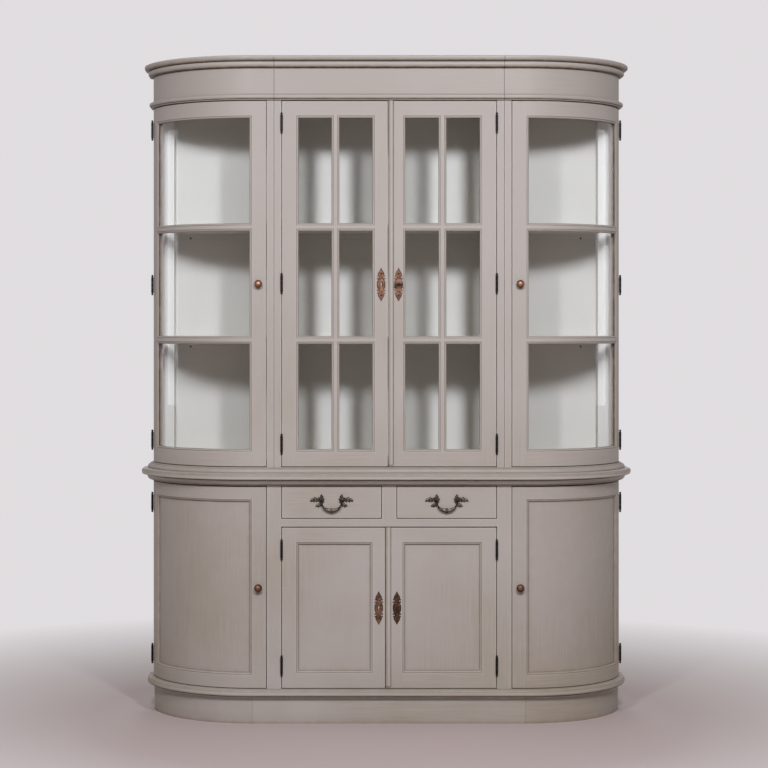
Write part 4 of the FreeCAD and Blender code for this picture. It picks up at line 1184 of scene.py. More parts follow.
@dataclass
class Carcass:
    """Posts, uprights, side panels, shelves and backs."""

    plan: Plan
    shop: Workshop
    pilaster_depth: float = 24 * MM
    partition: float = 20 * MM
    shelf_thickness: float = 18 * MM
    shelf_setback: float = 10 * MM
    base_shelf_setback: float = 40 * MM
    cleat: Span = (15 * MM, 19 * MM)
    screw_x: float = 0.672
    screw_rise: float = 3.6 * MM
    board_thickness: float = 20 * MM
    top_inset: float = 22.3 * MM
    runner: Span = (28 * MM, 20 * MM)
    divider: float = 48 * MM
    bar: float = 12 * MM

    def __post_init__(self) -> None:
        """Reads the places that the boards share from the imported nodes."""
        low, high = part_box("upper_sides")
        self.upper: Span = (low.z, high.z)
        self.pilaster: Span = (Crown.module_side(), high.x)
        base_low, base_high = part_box("base_uprights")
        self.base: Span = (base_low.z, base_high.z)
        self.joint = sum(self.pilaster) / 2
        self.partition_x: Span = (self.joint - self.partition / 2, self.joint + self.partition / 2)
        shelves_low, shelves_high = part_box("shelves")
        self.post_inner = shelves_high.x
        frame_low, frame_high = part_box("upper_left_door_frame")
        third = (frame_high.z - frame_low.z - 2 * DoorSizes.rail - 2 * self.bar) / 3
        first = frame_low.z + DoorSizes.rail + third + (self.bar - self.shelf_thickness) / 2
        self.levels = [first, first + third + self.bar]
        self.base_level = shelves_low.z

    def build(self) -> None:
        """Makes the boards."""
        self.posts()
        self.uprights()
        self.level_boards()
        self.backs()

    def posts(self) -> None:
        """End posts: grey outside and white within, a face cut to follow the bow."""
        plan = self.plan
        corner_y = plan.front_y + plan.bow_depth
        slope = (plan.radius - plan.bow_depth) / (plan.body_half - plan.flat_half)
        inner_y = corner_y + (plan.body_half - self.post_inner) * slope
        outline = np.array([(plan.body_half, corner_y), (self.post_inner, inner_y),
                            (self.post_inner, plan.carcass_back_y), (plan.body_half, plan.carcass_back_y)])
        shapes = []
        for low, high in (self.base, self.upper):
            levels = graded(low, high, 1)[:, None]
            rings = points_at(outline[:, 0], outline[:, 1], levels)
            ends = np.minimum(levels - low, high - levels)
            shape = swept(rings, 0.6 * np.exp(-ends / (2 * STAIN_REACH)))
            inside = np.tile([1, 1, 0, 0], len(levels) - 1)
            shape.skins = np.concatenate([inside, np.zeros(len(shape.covers), int)])
            shapes += [shape, shape.mirrored()]
        self.shop.make("end_post_boards", shapes, [Slot.PAINT, Slot.WHITE], "carcass", ["end_posts"],
                       EDGE_EASE)

    def uprights(self) -> None:
        """Pilasters and partitions of the base, drawer rail and runners, side panels of the upper modules."""
        plan, (near, far) = self.plan, self.pilaster
        face = (plan.front_y, plan.front_y + self.pilaster_depth)
        partition = plank((self.partition_x[0], face[1], self.base[0]),
                          (self.partition_x[1], plan.carcass_back_y, self.base[1]))
        drawer_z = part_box("left_drawer_front")[0].z - DOOR_GAP
        rail_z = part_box("lower_left_door_frame")[1].z + DOOR_GAP
        half, top = self.divider / 2, self.base[1]
        holes = [((-near, near), (self.base[0], rail_z)), ((-near, -half), (drawer_z, top)),
                 ((half, near), (drawer_z, top))]
        self.shop.make("base_face_frame", [pierced((-far, far), face, self.base, holes)], [Slot.PAINT],
                       "carcass", ["base_uprights", "drawer_frame"], EDGE_EASE)
        self.shop.make("base_partitions", [partition, partition.mirrored()], [Slot.WHITE], "carcass",
                       ease=EDGE_EASE)

        width, height = self.runner
        middle = plank((-half - width, face[1], drawer_z - height),
                       (half + width, plan.carcass_back_y, drawer_z))
        outer = plank((near - width, face[1], drawer_z - height),
                      (self.partition_x[0], plan.carcass_back_y, drawer_z))
        self.shop.make("drawer_runners", [middle, outer, outer.mirrored()], [Slot.WOOD], "carcass",
                       ease=EDGE_EASE)

        shapes = []
        for inner_x, outer_x in ((near, self.joint - JOINT_GAP), (self.joint + JOINT_GAP, far)):
            facing = board((inner_x, outer_x), face, self.upper, gap=UPPER_GAP_SHADE).skinned(0)
            panel = plank((inner_x, face[1], self.upper[0]),
                          (outer_x, plan.carcass_back_y, self.upper[1])).skinned(1)
            shapes += [facing, facing.mirrored(), panel, panel.mirrored()]
        self.shop.make("upper_side_boards", shapes, [Slot.PAINT, Slot.WHITE], "carcass", ["upper_sides"],
                       EDGE_EASE)

    def level_boards(self) -> None:
        """Shelves with a cleat behind each, and the boards that close the upper modules."""
        plan = self.plan
        depth, drop = self.cleat
        shelves, cleats, screws = [], [], []
        near, far = self.pilaster
        for level in [*self.levels, self.base_level]:
            base = level == self.base_level
            setback = self.base_shelf_setback if base else self.shelf_setback
            centre_x, bow_x = self.partition_x if base else (near, far)
            z = (level, level + self.shelf_thickness)
            offset = -DOOR_THICKNESS - setback
            shelves += self.three(offset, z, centre_x, bow_x)
            back = plan.carcass_back_y
            cleat = plank((bow_x, back - depth, level - drop), (self.post_inner, back, level))
            cleats += [plank((-centre_x, back - depth, level - drop), (centre_x, back, level)), cleat,
                       cleat.mirrored()]
            screw = screw_head(3.4, 1.8).shifted((self.screw_x, back - depth, level - drop + self.screw_rise))
            screws += [screw, screw.mirrored()]
        self.shop.make("shelf_boards", shelves, [Slot.WHITE], "carcass", ["shelves"], EDGE_EASE)
        self.shop.make("shelf_cleat_strips", cleats, [Slot.WHITE], "carcass", ["shelf_cleats"], EDGE_EASE)
        self.shop.make("cleat_screws", screws, [Slot.IRON], "carcass")

        floor = (self.upper[0], self.upper[0] + self.board_thickness)
        top = (self.upper[1], self.upper[1] + self.board_thickness)
        boards = self.three(-DOOR_THICKNESS - DOOR_GAP, floor, near, far)
        edge = Moulding(np.stack([np.full(2, -self.top_inset), np.array(top)], axis=1), np.zeros(2))
        joint, back = self.joint, plan.carcass_back_y
        bow_top = plan.slab(edge, back, (joint + JOINT_GAP, plan.body_half))
        centre_top = plan.slab(edge, back, (JOINT_GAP - joint, joint - JOINT_GAP))
        self.shop.make("upper_floor_and_top_boards", boards + [bow_top, bow_top.mirrored(), centre_top],
                       [Slot.WHITE], "carcass", ["upper_floors_and_tops"], EDGE_EASE)

    def three(self, offset: float, z: Span, centre_x: float, bow_x: float) -> list[Shape]:
        """One level: the centre board and a bowed one at each end."""
        plan = self.plan
        bow = plan.shelf(offset, (bow_x, self.post_inner), z, plan.carcass_back_y)
        return [plan.shelf(offset, (-centre_x, centre_x), z, plan.carcass_back_y), bow, bow.mirrored()]

    def backs(self) -> None:
        """Back panels: one behind the base, one behind each upper module."""
        plan = self.plan
        low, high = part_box("back_panels")
        joint, half = self.joint, plan.body_half
        waist_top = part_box("waist_top")[0].z + Base.waist_roll_height * MM
        shapes = [plank((-half, plan.carcass_back_y, low.z), (half, plan.back_y, waist_top))]
        gap = JOINT_GAP / 10
        for x0, x1 in ((-half, -joint - gap), (gap - joint, joint - gap), (joint + gap, half)):
            shapes.append(plank((x0, plan.carcass_back_y, self.upper[0]), (x1, plan.back_y, high.z)))
        self.shop.make("back_boards", shapes, [Slot.WHITE], "carcass", ["back_panels"], EDGE_EASE)


@dataclass(frozen=True)
class DoorSizes:
    """Sizes that all the doors share, and the glaze at a panel's edge and in its smudges."""

    stile: float = 48 * MM
    rail: float = 50 * MM
    bow_panel_rail: float = 44 * MM
    bar: float = 12 * MM
    lap: float = 2 * MM
    glass: Span = (10 * MM, 14 * MM)
    panel: Span = (8 * MM, 16 * MM)
    panel_edge: float = 6 * MM
    panel_stain: float = 0.18
    panel_smudge: float = 0.08
    astragal: float = 17 * MM
    astragal_height: float = 5 * MM
    astragal_end: float = 6 * MM


def sash_moulding() -> Moulding:
    """A glazing moulding as (distance in from the bar, depth): quirk, bead, sight edge and rebate."""
    bead = quarter((1.6, 0.9), (7, 6.2), True)
    return Moulding.of(([(0, 0.05), (0.25, 2.0), (1.4, 2.0)], [0.1, 0.3, 0.3]),
                       (bead, [0.15, 0.05, 0.0, 0.03, 0.08, 0.18, 0.42, 0.8, 1.0]),
                       ([(7, 10), (2, 10), (2, 22), (0, 22)], [1.0, 0.3, 0.2, 0.0]))


def panel_moulding() -> Moulding:
    """A panel moulding as (distance in from the frame, depth): quirk, ovolo, fillet and groove."""
    ovolo = quarter((1.2, 0.8), (6.8, 6.4), True)
    return Moulding.of(([(0, 0.05), (0.2, 1.0), (1.0, 1.0)], [0.1, 0.4, 0.35]),
                       (ovolo, [0.35, 0.2, 0.1, 0.08, 0.12, 0.18, 0.26, 0.36, 0.42]),
                       ([(8, 6.6), (8, 8), (2, 8), (2, 16), (8, 16), (8, 22), (0, 22)],
                        [0.35, 0.45, 0.3, 0.3, 0.3, 0.3, 0.0]))


def between_bars(low: float, high: float, count: int, bar: float) -> list[Span]:
    """Equal openings from low to high with bars between them."""
    wide = (high - low - (count - 1) * bar) / count
    return [(low + i * (wide + bar), low + i * (wide + bar) + wide) for i in range(count)]


@dataclass
class Door:
    """A framed door laid out flat, x along its width, y behind its face and z up, then set in its place."""

    name: str
    plan: Plan
    shop: Workshop
    infill: Infill
    x: Span
    z: Span
    left_stile: float
    right_stile: float
    columns: int
    rows: int
    rail: float = DoorSizes.rail
    bow: Side | None = None
    # Darkening all over, for the lower bowed doors
    wash: float = 0.0
    astragal: bool = False

    @property
    def steps(self) -> int:
        """Steps along a rail, enough for the bend."""
        return 1 if self.bow is None else BEND_STEPS

    @property
    def openings_x(self) -> list[Span]:
        """Openings side by side, to the edges of the bars."""
        low, high = self.x[0] + self.left_stile, self.x[1] - self.right_stile
        return between_bars(low, high, self.columns, DoorSizes.bar)

    @property
    def openings_z(self) -> list[Span]:
        """Openings one above another, to the edges of the bars."""
        return between_bars(self.z[0] + self.rail, self.z[1] - self.rail, self.rows, DoorSizes.bar)

    def placed(self, shapes: Sequence[Shape]) -> list[Shape]:
        """The laid-out shapes in the dresser."""
        if self.bow is None:
            return [self.plan.on_flat(s) for s in shapes]
        return [self.plan.on_bow(s, self.bow).washed(self.wash) for s in shapes]

    def build(self) -> None:
        """Makes frame, mouldings and infill."""
        shop, node = self.shop, f"{self.name}_frame"
        holes = [(across, up) for across in self.openings_x for up in self.openings_z]
        gap = UPPER_GAP_SHADE if self.infill is Infill.GLASS else GAP_SHADE
        limits = (self.z[0], self.z[1] - TOP_GAP)
        boards = pierced(self.x, (0.0, DOOR_THICKNESS), limits, holes, self.steps, gap)
        shop.make(f"{self.name}_boards", self.placed([boards]), [Slot.PAINT], self.name, [node], DOOR_EASE)
        shop.make(f"{self.name}_mouldings", self.placed(self.mouldings()), [Slot.PAINT], self.name)
        if self.astragal:
            shop.make(f"{self.name}_astragal", self.placed([self.cover_bead()]), [Slot.PAINT], self.name)
        fill, kind = self.infill.value, Slot.GLASS if self.infill is Infill.GLASS else Slot.PAINT
        shop.make(f"{self.name}_{fill}_sheets", self.placed(self.sheets()), [kind], self.name,
                  [f"{self.name}_{fill}"])

    def mouldings(self) -> list[Shape]:
        """A mitred moulding round each opening: a point u in from its edge runs round it shrunk by u."""
        edge = sash_moulding() if self.infill is Infill.GLASS else panel_moulding()
        inset, depth = edge.points.T
        share = np.linspace(0, 1, self.steps + 1)[:, None]
        shapes = []
        for x0, x1 in self.openings_x:
            across = x0 + inset + share * (x1 - x0 - 2 * inset)
            for z0, z1 in self.openings_z:
                low = points_at(across, depth, z0 + inset)
                high = points_at(across[::-1], depth, z1 - inset)
                shapes.append(swept(np.concatenate([low, high]), edge.recess, loop=True))
        return shapes

    def sheets(self) -> list[Shape]:
        """Panes or a panel, let into the mouldings."""
        depth, lap = DoorSizes.panel, DoorSizes.lap
        stain, margin, smudge = DoorSizes.panel_stain, DoorSizes.panel_edge, DoorSizes.panel_smudge
        if self.infill is Infill.GLASS:
            depth, stain, margin, smudge = DoorSizes.glass, 0.0, 0.0, 0.0
        return [board((x0 + lap, x1 - lap), depth, (z0 + lap, z1 - lap), self.steps, stain, margin, smudge)
                for x0, x1 in self.openings_x for z0, z1 in self.openings_z]

    def cover_bead(self) -> Shape:
        """The astragal: a low rounded bead up the meeting edge, its height a sine of its width."""
        width, height = DoorSizes.astragal, DoorSizes.astragal_height
        share = np.linspace(0, 1, 15)
        rise = 0.28 + 0.72 * np.sin(np.pi * share)**0.8
        lap = DOOR_GAP - 0.4 * MM
        across = self.x[0] + np.append(share, [1, 0]) * (width + lap) - lap
        depth = -np.append(rise, [0, 0]) * height
        # Darker at both edges, glaze with painted shade; paler on the crown, a painted highlight
        stain = np.interp(share, [0, 0.12, 0.4, 0.6, 0.85, 1], [0.6, 0.3, 0.1, -0.15, 0.15, 0.8])
        levels = np.array([self.z[0] + DoorSizes.astragal_end, self.z[1]])[:, None]
        return swept(points_at(across, depth, levels), np.append(stain, [1.0, 1.0]))


@dataclass
class Hinges:
    """Loose-pin hinges of one door: knuckles with finials, and leaves in the gap; sizes in millimetres."""

    door: str
    side: Side
    plan: Plan
    bow: bool
    radius: float = 4.5
    leaf_half: float = 27.0
    finial: float = 8.0
    standoff: float = 4.7
    leaf_width: float = 18.0
    leaf_limits: Span = (0.1, 0.9)
    middle_half: float = 9.0
    knuckle_gap: float = 0.3

    def axis(self) -> tuple[float, float, float]:
        """Where the pin stands on the right-hand side, and the angle its leaves turn to."""
        x, y, _ = joint_place("name", f"{self.door}_hinge")
        x = abs(x)
        angle = math.atan2(x - self.plan.flat_half, self.plan.centre_y - y) if self.bow else 0.0
        return x, y, angle

    def heights(self) -> Array:
        """Middles of the hinges, from the node's limits."""
        low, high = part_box(f"{self.door}_hinge_leaves")
        half = self.leaf_half * MM
        return np.linspace(low.z + half, high.z - half, 3 if self.door.startswith("upper") else 2)

    def placed(self, shapes: Sequence[Shape]) -> list[Shape]:
        """Shapes about the pin's own axis, set at every height of the door."""
        x, y, angle = self.axis()
        turned = [s.turned_about_z(angle) for s in shapes]
        return [s.shifted((x, y, z)).on_side(self.side) for z in self.heights() for s in turned]

    def leaf(self, way: int) -> Shape:
        """One leaf, on the frame's side or on the door's."""
        near, far = (limit * MM * way for limit in self.leaf_limits)
        half = self.leaf_half * MM
        return plank((min(near, far), self.standoff * MM, -half),
                     (max(near, far), (self.standoff + self.leaf_width) * MM, half))

    def knuckle(self, low: float, high: float) -> Array:
        """Profile of a knuckle between two heights, its rims eased."""
        rim, ease = self.radius - 0.4, 0.5
        return np.array([(0.1, low), (rim - ease, low), (rim, low + ease), (rim, high - ease),
                         (rim - ease, high), (0.1, high)]) * MM

    def frame_parts(self) -> list[Shape]:
        """Upper and lower knuckles with their finials, and the frame's leaf."""
        top, foot = self.leaf_half, self.middle_half + self.knuckle_gap
        end = top + self.finial
        tip = np.array([(3.6, top), (2.6, top + 0.3), (2.6, top + 1.3), (3.2, top + 2.0), (3.4, top + 3.4),
                        (3.3, top + 6.2), (2.6, top + 7.5), (0.1, end)]) * MM
        profile = np.concatenate([self.knuckle(foot, top)[:4], tip])
        upper = lathe(profile, steps=20)
        lower = upper.moved(upper.points * [1, 1, -1])
        return self.placed([upper, lower, self.leaf(1)])

    def door_parts(self) -> list[Shape]:
        """Middle knuckle and the door's leaf."""
        middle = lathe(self.knuckle(-self.middle_half, self.middle_half), steps=20)
        return self.placed([middle, self.leaf(-1)])


@dataclass
class Knob:
    """A turned knob on a rose, on the free stile of a bowed door."""

    door: str
    plan: Plan
    shop: Workshop

    def build(self) -> None:
        """Makes the knob: rose, neck and a flattened ball."""
        turn = np.linspace(-0.62, np.pi / 2, 16)
        ball = np.stack([13 * np.cos(turn), 14.6 + 9.2 * np.sin(turn)], axis=1)
        ball[-1, 0] = 0.1
        stem = [(0.1, 0.2), (10.2, 0.2), (10.4, 1.0), (9.6, 1.9), (9.0, 1.9), (8.6, 2.8), (6.2, 3.4),
                (4.9, 4.6), (4.6, 6.2), (5.4, 7.6), (8.4, 8.4)]
        profile = np.concatenate([stem, ball]) * MM
        dull = 0.0 if self.door.startswith("upper") else 0.45
        recess = np.concatenate([[1, 0.9, 0.6, 0.8, 1, 0.7, 0.9, 1, 1, 1, 0.9], np.linspace(0.9, dull, 16)])
        knob = lathe(profile, recess, 48).facing_front()
        placed = knob.shifted(self.plan.face_middle(f"{self.door}_knob"))
        self.shop.make(f"{self.door}_turned_knob", [placed], [Slot.COPPER], self.door, [f"{self.door}_knob"])


@dataclass
class Escutcheon:
    """A lancet plate with ears above and below a bulge, pins and a keyhole; sizes in millimetres."""

    door: str
    plan: Plan
    shop: Workshop
    tarnish: float
    length: float = 110.0
    thickness: float = 2.4
    keyhole: float = 3.2
    keyhole_rise: float = 3.2
    slot: float = 1.7
    slot_foot: float = -6.0
    pin_rise: float = 36.0
    rows: int = 241
    columns: int = 13

    def half_width(self, z: Array) -> Array:
        """Half the plate's width at each height: a bulge, two spiked ears and a lancet end."""
        heights = [0, 8, 12, 14.4, 16.6, 18.4, 20.8, 21.6, 25.6, 26.4, 28.8, 30, 32, 36, 40, 46, 50, 53, 55]
        widths = [14, 13.6, 12.4, 9.6, 9.8, 14.4, 14.4, 7.2, 7.2, 13.6, 13.4, 9.6, 10.8, 10.4, 8.9, 5, 2.9,
                  1.4, 0.15]
        return np.interp(np.abs(z), heights, widths)

    def hole_half(self, z: Array) -> Array:
        """Half the keyhole's width at each height: a circle over a slot."""
        circle = np.sqrt(np.maximum(self.keyhole**2 - (z - self.keyhole_rise)**2, 0))
        slot = np.where((z > self.slot_foot) & (z < self.keyhole_rise), self.slot, 0.0)
        return np.maximum(circle, slot)

    def plate(self) -> Shape:
        """The right half: ruled from the keyhole or the middle to the edge, low at its rim, engraved."""
        z = np.linspace(-self.length / 2, self.length / 2, self.rows)
        share = np.linspace(0, 1, self.columns)
        outer, hole = self.half_width(z)[:, None], self.hole_half(z)[:, None]
        x = hole + share * (outer - hole)
        rim = np.minimum(outer - x, np.where(hole > 0, x - hole, np.inf))
        tip = (self.length / 2 - np.abs(z))[:, None]
        edge = np.clip(np.minimum(rim, tip) / 2.2, 0, 1)
        height = 0.7 + (self.thickness - 0.7) * np.sqrt(1 - (1 - edge)**2)
        line = np.exp(-((rim - 3.2) / 0.5)**2)
        pin = np.hypot(x, np.abs(z)[:, None] - self.pin_rise)
        dome = np.exp(-(pin / 1.7)**4)
        front = height - 0.35 * line - 0.8 * dome
        recess = self.tarnish + 0.75 * (1 - edge) + 0.2 * line + np.exp(-(pin / 3.0)**4)
        face = points_at(x, -front, z[:, None])
        back = points_at(x, 0.0, z[:, None])[:, ::-1]
        rings = np.concatenate([face, back], axis=1) * MM
        shape = swept(rings, np.concatenate([np.clip(recess, 0, 1), np.ones_like(x)], axis=1))
        wall = np.zeros((self.rows - 1, 2 * self.columns), bool)
        solid = (hole[:-1, 0] == 0) & (hole[1:, 0] == 0)
        wall[solid, -1] = True
        shape.quads = shape.quads[~wall.ravel()]
        return shape

    def build(self) -> None:
        """Makes the plate on its door."""
        half = self.plate()
        middle = self.plan.face_middle(f"{self.door}_escutcheon")
        self.shop.make(f"{self.door}_key_plate", [s.shifted(middle) for s in (half, half.mirrored())],
                       [Slot.COPPER], self.door, [f"{self.door}_escutcheon"], weld=True)


@dataclass
class Lock:
    """Lock case, bolt and key of a right-hand door; the key's sizes in millimetres."""

    door: str
    plan: Plan
    shop: Workshop
    upright_key: bool
    screw_inset: float = 6 * MM
    key_bow: Span = (15.0, 11.0)
    wire: float = 2.0

    def build(self) -> None:
        """Makes the three pieces."""
        case_low, case_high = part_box(f"{self.door}_lock_case")
        case = plank(case_low, case_high)
        screw = screw_head(3.6, 1.9)
        screw = screw.moved(screw.points * [1, -1, 1])
        inset = self.screw_inset
        corners = [(x, z) for x in (case_low.x + inset, case_high.x - inset)
                   for z in (case_low.z + inset, case_high.z - inset)]
        screws = [screw.shifted((x, case_high.y, z)) for x, z in corners]
        self.shop.make(f"{self.door}_lock_box", [case, *screws], [Slot.STEEL], self.door,
                       [f"{self.door}_lock_case"], EDGE_EASE)
        bolt = plank(*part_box(f"{self.door}_bolt"))
        self.shop.make(f"{self.door}_lock_bolt", [bolt], [Slot.STEEL], f"{self.door}_bolt",
                       [f"{self.door}_bolt"], EDGE_EASE / 2)
        self.key()

    def key(self) -> None:
        """A key: turned shank with collars, an oval bow of round wire and a bit inside the lock."""
        name = f"{self.door}_key"
        low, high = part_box(name)
        x, _, z = joint_place("child", name)
        (half_width, half_depth), wire = self.key_bow, self.wire
        bow_out = (self.plan.front_y - low.y) / MM
        near = bow_out - 2 * half_depth
        shank_in = (high.y - self.plan.front_y) / MM
        profile = np.array([(0.1, -shank_in), (2.4, -shank_in), (2.4, 1.0), (3.6, 1.6), (3.8, 2.6),
                            (2.9, 3.4), (2.5, 4.4), (2.7, near - 2.6), (5.0, near - 1.8), (5.3, near - 0.6),
                            (3.0, near + 0.8), (0.1, near + 1.2)]) * MM
        shank = lathe(profile, 1.0, 20).facing_front()
        turn = np.linspace(0, 2 * np.pi, 48, endpoint=False)
        centre = bow_out - half_depth
        across, out = (half_width - wire) * np.sin(turn), centre + (half_depth - wire) * np.cos(turn)
        oval = points_at(across, -out, 0.0) * MM
        thick = wire * (1 + 0.18 * np.cos(2 * turn)) * MM
        bow = tube(oval, np.minimum(thick, wire * MM), (0, 0, 1), loop=True, sides=12)
        bow.recess = np.full(len(bow.points), 0.95)
        bit_near, bit_far = shank_in - 6.5, shank_in - 1.5
        bit = plank((0, bit_near * MM, -1 * MM), (8 * MM, bit_far * MM, 1 * MM))
        shapes = [bow, bit]
        if self.upright_key:
            shapes = [s.moved(s.points[:, [2, 1, 0]] * [1, 1, -1]) for s in shapes]
        self.shop.make(f"{name}_in_lock", [s.shifted((x, self.plan.front_y, z)) for s in [shank, *shapes]],
                       [Slot.COPPER], name, [name])


@dataclass
class Handle:
    """A drop handle: a spray of three leaves round each post, and a swinging bail; sizes in millimetres."""

    drawer: str
    plan: Plan
    shop: Workshop
    half_span: float = 35.0
    standoff: float = 11.0
    drop: float = 46.0
    leaf_rows: int = 65
    leaf_columns: int = 13

    def leaf(self, start: Span, length: float, width: float, heading: float, curl: float,
             lobes: int) -> Shape:
        """A carved leaf: rows across a curling midrib, lobed at the edge, domed, with a groove and veins.

        Args:
            start: Where its stem begins, beside and above the post.
            length: From stem to tip.
            width: Widest measure.
            heading: Direction it sets out in, in degrees from straight out to the side.
            curl: How far it turns by its tip, in degrees.
            lobes: Points along each edge.

        Returns:
            The leaf in millimetres about the post, raised towards the front.
        """
        t = np.linspace(0, 1, self.leaf_rows)
        u = np.linspace(-1, 1, self.leaf_columns)
        course = np.radians(heading + curl * t**1.5)
        step = np.stack([np.cos(course), np.sin(course)], axis=1) * length / (self.leaf_rows - 1)
        rib = start + np.concatenate([np.zeros((1, 2)), np.cumsum(step[:-1], axis=0)])
        side = np.stack([-np.sin(course), np.cos(course)], axis=1)
        tooth = np.mod(lobes * t[:, None] * 0.999 + 0.4 * (u > 0), 1.0)**0.8
        taper = width / 2 * np.sin(np.pi * np.clip(t, 0.03, 0.985)**0.72)[:, None]**0.7
        half = np.maximum(taper * (0.38 + 0.62 * tooth), 0.7)
        spread = rib[:, None] + (half * u)[..., None] * side[:, None]
        dome = 2.6 * np.sqrt(np.maximum(1 - u**2, 0)) * np.sin(np.pi * (0.12 + 0.8 * t))[:, None]
        groove = 0.9 * np.exp(-(u / 0.13)**2) * np.sin(np.pi * t)[:, None]
        vein = 0.45 * np.cos(2 * np.pi * (lobes * t[:, None] - 0.9 * np.abs(u))) * (1 - np.abs(u))
        vein *= (t < 0.95)[:, None]
        lift = 3.2 * t[:, None]**2
        front = 1.4 + dome - groove + vein + lift
        recess = np.clip(0.66 + 0.9 * groove - 1.2 * vein + 0.6 * np.abs(u)**4 - 0.1 * dome, 0, 1)
        face = points_at(spread[..., 0], -front, spread[..., 1])
        rim = spread[:, [-1, 0]]
        under = points_at(rim[..., 0], -0.15 - 0.8 * lift, rim[..., 1])
        rings = np.concatenate([face, under], axis=1) * MM
        return swept(rings, np.concatenate([recess, np.ones((self.leaf_rows, 2))], axis=1))

    def spray(self) -> list[Shape]:
        """The right-hand spray: three leaves and the post."""
        leaves = [self.leaf((5, -4), 32, 20, 8, -34, 3), self.leaf((-4, -16), 31, 24, 78, 24, 3),
                  self.leaf((-3, -17), 22, 17, -28, 34, 3)]
        post = np.array([(0.1, 0.1), (6.2, 0.1), (6.0, 2.0), (4.2, 3.6), (3.9, 7.0), (5.2, 8.2),
                         (5.4, 11.0), (5.0, 13.4), (3.2, 15.4), (0.1, 16.0)]) * MM
        stain = np.array([1, 1, 0.8, 0.9, 0.9, 0.8, 0.7, 0.6, 0.6, 0.5])
        return leaves + [lathe(post, stain, 24).facing_front()]

    def bail_path(self) -> tuple[Array, Array]:
        """Centre line and radius of the bail: a hanging bow, a crescent that swells to a ringed knot."""
        turn = np.linspace(-np.pi / 2, np.pi / 2, 161)
        x = (self.half_span - 2.0) * np.sin(turn)
        z = -(self.drop - 8.0) * np.cos(turn)**0.62
        reach = np.abs(x)
        swell = np.interp(reach, [0, 7, 12, 16, 25, 31, 33], [4.4, 3.8, 3.6, 2.9, 1.5, 0.2, -0.2])
        rings = 0.9 * np.exp(-((reach - 4.8) / 0.7)**2) + 0.5 * np.exp(-(x / 0.5)**2)
        knot = 1.6 * np.exp(-(x / 3.6)**4) - rings
        return points_at(x, 0.0, z), 2.0 + swell + knot

    def build(self) -> None:
        """Makes the sprays on the drawer and the bail between them."""
        x, y, z = joint_place("child", f"{self.drawer}_bail")
        sprays = [s.shifted((self.half_span * MM, 0, 0)) for s in self.spray()]
        sprays += [s.mirrored() for s in sprays]
        self.shop.make(f"{self.drawer}_leaf_sprays", [s.shifted((x, self.plan.front_y, z)) for s in sprays],
                       [Slot.BRONZE], self.drawer, [f"{self.drawer}_handle_plates"])
        path, radius = self.bail_path()
        bail = tube(path * MM, radius * MM, (0, 1, 0), flat=np.minimum(1.0, 3.9 / radius))
        rim = np.abs(np.cos(np.linspace(0, 2 * np.pi, 16, endpoint=False)))
        knot = np.exp(-(path[:, 0] / 4.4)**4)[:, None]
        bail.recess = np.clip(1.0 - 0.2 * (radius - 1.6)[:, None] * (1.1 - rim**2) + 0.7 * knot, 0, 1).ravel()
        self.shop.make(f"{self.drawer}_drop_bail", [bail.shifted((x, y, z))], [Slot.BRONZE],
                       f"{self.drawer}_bail", [f"{self.drawer}_bail"])


@dataclass
class Drawer:
    """A drawer: painted front, wooden box and its handle."""

    side: Side
    plan: Plan
    shop: Workshop
    side_thickness: float = 12 * MM
    bottom: Span = (6 * MM, 6 * MM)

    def build(self) -> None:
        """Makes the front, the box and the handle."""
        name = f"{self.side.word}_drawer"
        low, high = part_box(f"{name}_front")
        front = board((low.x, high.x), (low.y, high.y), (low.z, high.z))
        self.shop.make(f"{name}_front_board", [front], [Slot.PAINT], name, [f"{name}_front"], DOOR_EASE)
        low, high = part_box(f"{name}_box")
        wall = self.side_thickness
        rise, thick = self.bottom
        shapes = [plank(low, (low.x + wall, high.y, high.z)), plank((high.x - wall, low.y, low.z), high),
                  plank((low.x + wall, low.y, low.z + rise), (high.x - wall, high.y, low.z + rise + thick)),
                  plank((low.x + wall, high.y - wall, low.z + rise + thick), (high.x - wall, high.y, high.z))]
        self.shop.make(f"{name}_box_boards", shapes, [Slot.WOOD], name, [f"{name}_box"], EDGE_EASE)
        Handle(name, self.plan, self.shop).build()


